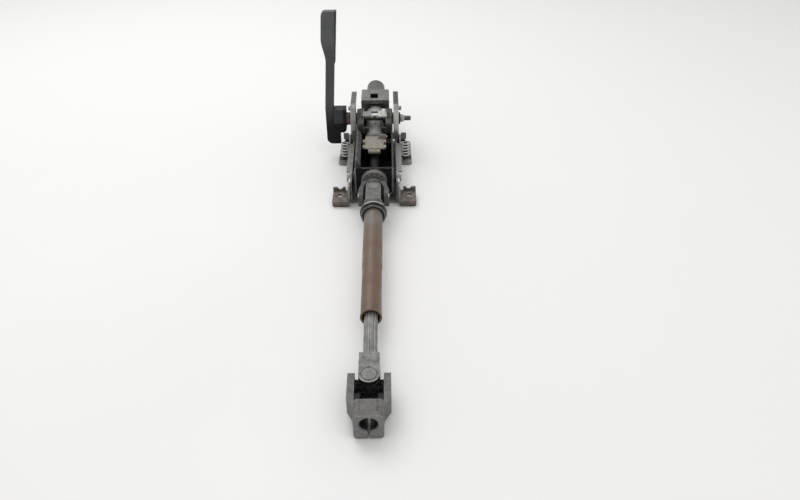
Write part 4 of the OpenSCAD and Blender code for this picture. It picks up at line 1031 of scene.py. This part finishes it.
class COLUMN_OT_joints(bpy.types.Operator):
    """Finish both universal joints and add their seals, webs and painted highlights on their edges"""

    bl_idname = "column.joints"
    bl_label = "Universal Joints"

    def execute(self, context):
        dress(["upper_fork"], hoop_steel(), 1.2 * MM, 3)
        dress(["tube_yoke"], light_forging(), 1.2 * MM, 3)
        dress(["inner_fork"], fork_steel(), 1.0 * MM, 3)
        dress(["pinion_yoke"], cast_iron(), 1.2 * MM, 3)
        dress(["upper_fork_cups", "tube_yoke_cups", "inner_fork_cups", "pinion_yoke_cups"], cup_steel(), 0.6 * MM)
        dress(["upper_cross", "lower_cross"], oiled_steel(), 0.6 * MM)
        dress(["damper_bush"], black_rubber(), 0.8 * MM, 3)
        self.seals("upper_joint_cross", UPPER_JOINT, 15.2 * MM, 15.2 * MM)
        self.seals("lower_joint_cross", LOWER_JOINT, 15.2 * MM, 12.7 * MM)
        self.cup_grooves("upper_fork", "lower_steering_shaft", UPPER_JOINT, RIGHT, 23.5 * MM)
        self.cup_grooves("tube_yoke", "tube", UPPER_JOINT, SHAFT_UP, 23.5 * MM)
        self.cup_grooves("inner_fork", "inner_steering_shaft", LOWER_JOINT, SHAFT_UP, 20.5 * MM)
        self.cup_grooves("pinion_yoke", "pinion_clamp", LOWER_JOINT, RIGHT, 23.0 * MM)
        self.cross_web("upper_joint_cross", UPPER_JOINT, 13.6 * MM, 13.6 * MM)
        self.cross_web("lower_joint_cross", LOWER_JOINT, 13.6 * MM, 12.2 * MM)
        self.yoke_ramps()
        self.highlight_arcs()
        self.yoke_gussets()
        self.yoke_ridges()
        return {"FINISHED"}

    def seals(self, body, middle, side_reach, up_reach):
        """Rubber lip seals on the four trunnions of a cross."""
        r, bore = sizes().seal_radius, 5.4 * MM
        parts = []
        for axis, reach in ((RIGHT, side_reach), (SHAFT_UP, up_reach)):
            profile = [(reach - 3.0 * MM, bore), (reach - 3.0 * MM, 0.86 * r), (reach - 2.4 * MM, r),
                       (reach - 1.6 * MM, 0.9 * r), (reach - 0.8 * MM, r), (reach, 0.93 * r), (reach, bore)]
            parts += [turned(middle, axis, profile, 32), turned(middle, -axis, profile, 32)]
        new_piece(body + "_seals", joined(parts), body, black_rubber())

    def cup_grooves(self, name, body, middle, axis, reach):
        """A dark groove and four staked marks round each cup of a fork."""
        r = sizes().cup_radius
        profile = [(reach - 0.3 * MM, r - 0.15 * MM), (reach + 0.06 * MM, r - 0.05 * MM),
                   (reach + 0.06 * MM, r + 0.6 * MM), (reach - 0.3 * MM, r + 0.7 * MM)]
        widths = ((0.2, 0.9), (1.2, 0.8), (1.9, 0.3))
        parts = []
        for way in (axis, -axis):
            parts.append(turned(middle, way, profile, 40))
            side = way.orthogonal().normalized()
            up = way.cross(side)
            for k in range(4):
                a = math.pi * (2 * k + 1) / 4
                out = math.cos(a) * side + math.sin(a) * up
                rim = middle + way * reach + out * r
                parts.append(staked_mark(rim, out, way.cross(out), way, widths, 0.08, 0.3))
        new_piece(name + "_cup_grooves", joined(parts), body, groove_dirt_and_shade())

    def cross_web(self, body, middle, half, high):
        """The forged web between the four trunnions of a cross."""
        corners = [(1, 0.45), (0.6, 1), (-0.6, 1), (-1, 0.45), (-1, -0.45), (-0.6, -1), (0.6, -1), (1, -0.45)]
        outline = [middle + RIGHT * a * half + SHAFT_UP * b * high for a, b in corners]
        web = prism(outline, DOWN_SHAFT, ((-3.6, 0.9), (-2.6, 1), (2.6, 1), (3.6, 0.9)))
        new_piece(body + "_web", web, body, oiled_steel())

    def yoke_ramps(self):
        """The ramps from the tube yoke's arms out to the shoulder of its cup."""
        steps, foot, arm, shoulder = 10, 8, 23.5, 20.08
        parts = []
        for side in SIDES:
            rings = []
            for k in range(steps + 1):
                share = k / steps
                along, half = 35.6 + 4.1 * share, 10.95 + 3.6 * share
                drop = max(0.0, (share - 0.1) / 0.9)
                across = [half * (2 * i / steps - 1) for i in range(steps + 1)]
                top = [(x, arm * (1 - drop) + math.sqrt(shoulder ** 2 - x * x) * drop) for x in across]
                rings.append([UPPER_JOINT + (DOWN_SHAFT * along + RIGHT * x + SHAFT_UP * side * z) * MM
                              for x, z in ((-half, foot), *top, (half, foot))])
            parts.append(skin(rings))
        new_piece("yoke_ramps", joined(parts), "tube", light_forging(), smooth=50)

    def highlight_arcs(self):
        """Bright arcs painted as highlights along the edges of the forks and of the yoke's shoulder."""
        shoulder = [(38.9, 19.5), (39.1, 20.15), (39.6, 20.3), (40.0, 20.15), (40.1, 19.5)]
        tip = [(19.7, 11.0), (19.7, 11.35), (20.2, 11.35), (20.55, 11.0)]
        rim = [(22.7, 11.7), (22.7, 12.1), (23.2, 12.1), (23.6, 11.7)]
        slant = DOWN_SHAFT + 1.5 * SHAFT_UP
        for name, body, middle, axes, profile, sweep in (
            ("shoulder_edge", "tube", UPPER_JOINT, ((DOWN_SHAFT, SHAFT_UP),), shoulder, 80),
            ("fork_tip_edge", "inner_steering_shaft", LOWER_JOINT, ((SHAFT_UP, DOWN_SHAFT),), tip, 120),
            ("fork_arm_rims", "lower_steering_shaft", UPPER_JOINT, ((RIGHT, slant), (LEFT, slant)), rim, 24),
        ):
            arcs = [turned(middle, axis, in_mm(profile), 40, way, sweep) for axis, way in axes]
            new_piece(name, joined(arcs), body, bright_metal_and_highlight())

    def yoke_gussets(self):
        """Fillets inside the pinion yoke's arms, where they meet its body, near black as painted shade."""
        outline = [(29.2, -11.5), (13.4, -11.5), (13.4, 5.5), (15, 7.5), (22, 11), (29.2, 12)]
        points = [LOWER_JOINT + DOWN_SHAFT * y * MM + SHAFT_UP * z * MM for y, z in outline]
        parts = [prism(points, RIGHT * side, ((9.2, 0.93), (9.8, 1), (15.6, 1))) for side in SIDES]
        new_piece("yoke_gussets", joined(parts), "pinion_clamp", groove_dirt_and_shade())

    def yoke_ridges(self):
        """Rough casting ridges along the top of the pinion yoke's body."""
        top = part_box("pinion_yoke")[1].z - 0.5 * MM
        steps, sway, sink = 24, 0.35 * MM, 0.15 * MM
        parts = []
        for x, size, start, end in ((-9.4, 1.1, -451, -467), (9.0, 1.3, -450.5, -465.5), (4.6, 0.8, -451, -462)):
            path = [Vector((x * MM + sway * math.sin(k * 1.7), (start + (end - start) * k / steps) * MM,
                            top - sink * k / steps)) for k in range(steps + 1)]
            parts.append(swept(path, lambda share: size * MM * (0.55 + 0.45 * math.sin(math.pi * share) ** 0.5), 10))
        new_piece("yoke_ridges", joined(parts), "pinion_clamp", cast_iron())


class COLUMN_OT_tube(bpy.types.Operator):
    """Finish the intermediate tube and the fluted shaft that slides in it"""

    bl_idname = "column.tube"
    bl_label = "Intermediate Shaft"

    def execute(self, context):
        dress(["intermediate_tube"], tube_steel(), 0.5 * MM)
        dress(["inner_shaft"], flute_steel(), 0.15 * MM)
        dress(["spline_sleeve"], ivory_plastic(), 0.2 * MM)
        return {"FINISHED"}


class COLUMN_OT_stage(bpy.types.Operator):
    """Lay the pale floor and set the light and the camera"""

    bl_idname = "column.stage"
    bl_label = "Stage"

    def execute(self, context):
        scene = context.scene
        scene.view_settings.view_transform = "Standard"
        self.floor()
        self.light()
        lens = bpy.data.cameras.new("Camera")
        lens.sensor_width = 36
        lens.lens = 28.35
        lens.clip_start = 0.01
        camera = bpy.data.objects.new("Camera", lens)
        camera.location = (0.0225, -0.883, 0.520)
        camera.rotation_euler = (math.radians(55), 0, math.radians(-1.21))
        scene.collection.objects.link(camera)
        scene.camera = camera
        return {"FINISHED"}

    def floor(self):
        """A wide floor with a faint unevenness of tone."""
        size, cells = 12.0, 24
        step, row = 2 * size / cells, cells + 1
        verts = [(-size + i * step, -size + j * step, 0) for j in range(row) for i in range(row)]
        corners = [j * row + i for j in range(cells) for i in range(cells)]
        faces = [(first, first + 1, first + row + 1, first + row) for first in corners]
        pale = finish("pale floor", tint("floor"), 0.985, 0.0, 0.6, patch=1.5, grain=(40.0, 1.0), relief=0.02)
        made = add_mesh("Floor", verts, faces, pale)

    def light(self):
        """An even world and two soft lights."""
        world = bpy.data.worlds.new("Studio")
        world.use_nodes = True
        back = world.node_tree.nodes["Background"]
        back.inputs["Color"].default_value = (1, 1, 1, 1)
        back.inputs["Strength"].default_value = 0.74
        bpy.context.scene.world = world
        aim = Vector((0, -0.05, 0))
        for name, place, size, power in (
            ("Key", (-0.7, 0.9, 1.9), 1.6, 20.0),
            ("Fill", (0.9, -0.9, 1.8), 1.8, 6.0),
        ):
            lamp = bpy.data.lights.new(name, "AREA")
            lamp.size = size
            lamp.energy = power
            made = bpy.data.objects.new(name, lamp)
            made.location = place
            made.rotation_mode = "QUATERNION"
            made.rotation_quaternion = (Vector(place) - aim).to_track_quat("Z", "Y")
            bpy.context.scene.collection.objects.link(made)


OPERATORS = (
    COLUMN_OT_bracket,
    COLUMN_OT_box,
    COLUMN_OT_springs,
    COLUMN_OT_clamp,
    COLUMN_OT_lever,
    COLUMN_OT_jacket,
    COLUMN_OT_shafts,
    COLUMN_OT_joints,
    COLUMN_OT_tube,
    COLUMN_OT_stage,
)


class COLUMN_PT_pieces(bpy.types.Panel):
    """Lists the column's pieces and their values"""

    bl_label = "Steering Column"
    bl_idname = "COLUMN_PT_pieces"
    bl_space_type = "VIEW_3D"
    bl_region_type = "UI"
    bl_category = "Column"

    def draw(self, context):
        layout = self.layout
        for operator in OPERATORS:
            layout.operator(operator.bl_idname)
        for group in (context.scene.column_sizes, context.scene.column_colours):
            box = layout.box()
            for name in group.__annotations__:
                box.prop(group, name)


CLASSES = (ColumnColours, ColumnSizes, *OPERATORS, COLUMN_PT_pieces)


def register():
    for made in CLASSES:
        bpy.utils.register_class(made)
    bpy.types.Scene.column_colours = PointerProperty(type=ColumnColours)
    bpy.types.Scene.column_sizes = PointerProperty(type=ColumnSizes)


def unregister():
    del bpy.types.Scene.column_sizes
    del bpy.types.Scene.column_colours
    for made in reversed(CLASSES):
        bpy.utils.unregister_class(made)


def main():
    register()
    for operator in OPERATORS:
        group, name = operator.bl_idname.split(".")
        getattr(getattr(bpy.ops, group), name)()


if __name__ == "__main__":
    main()
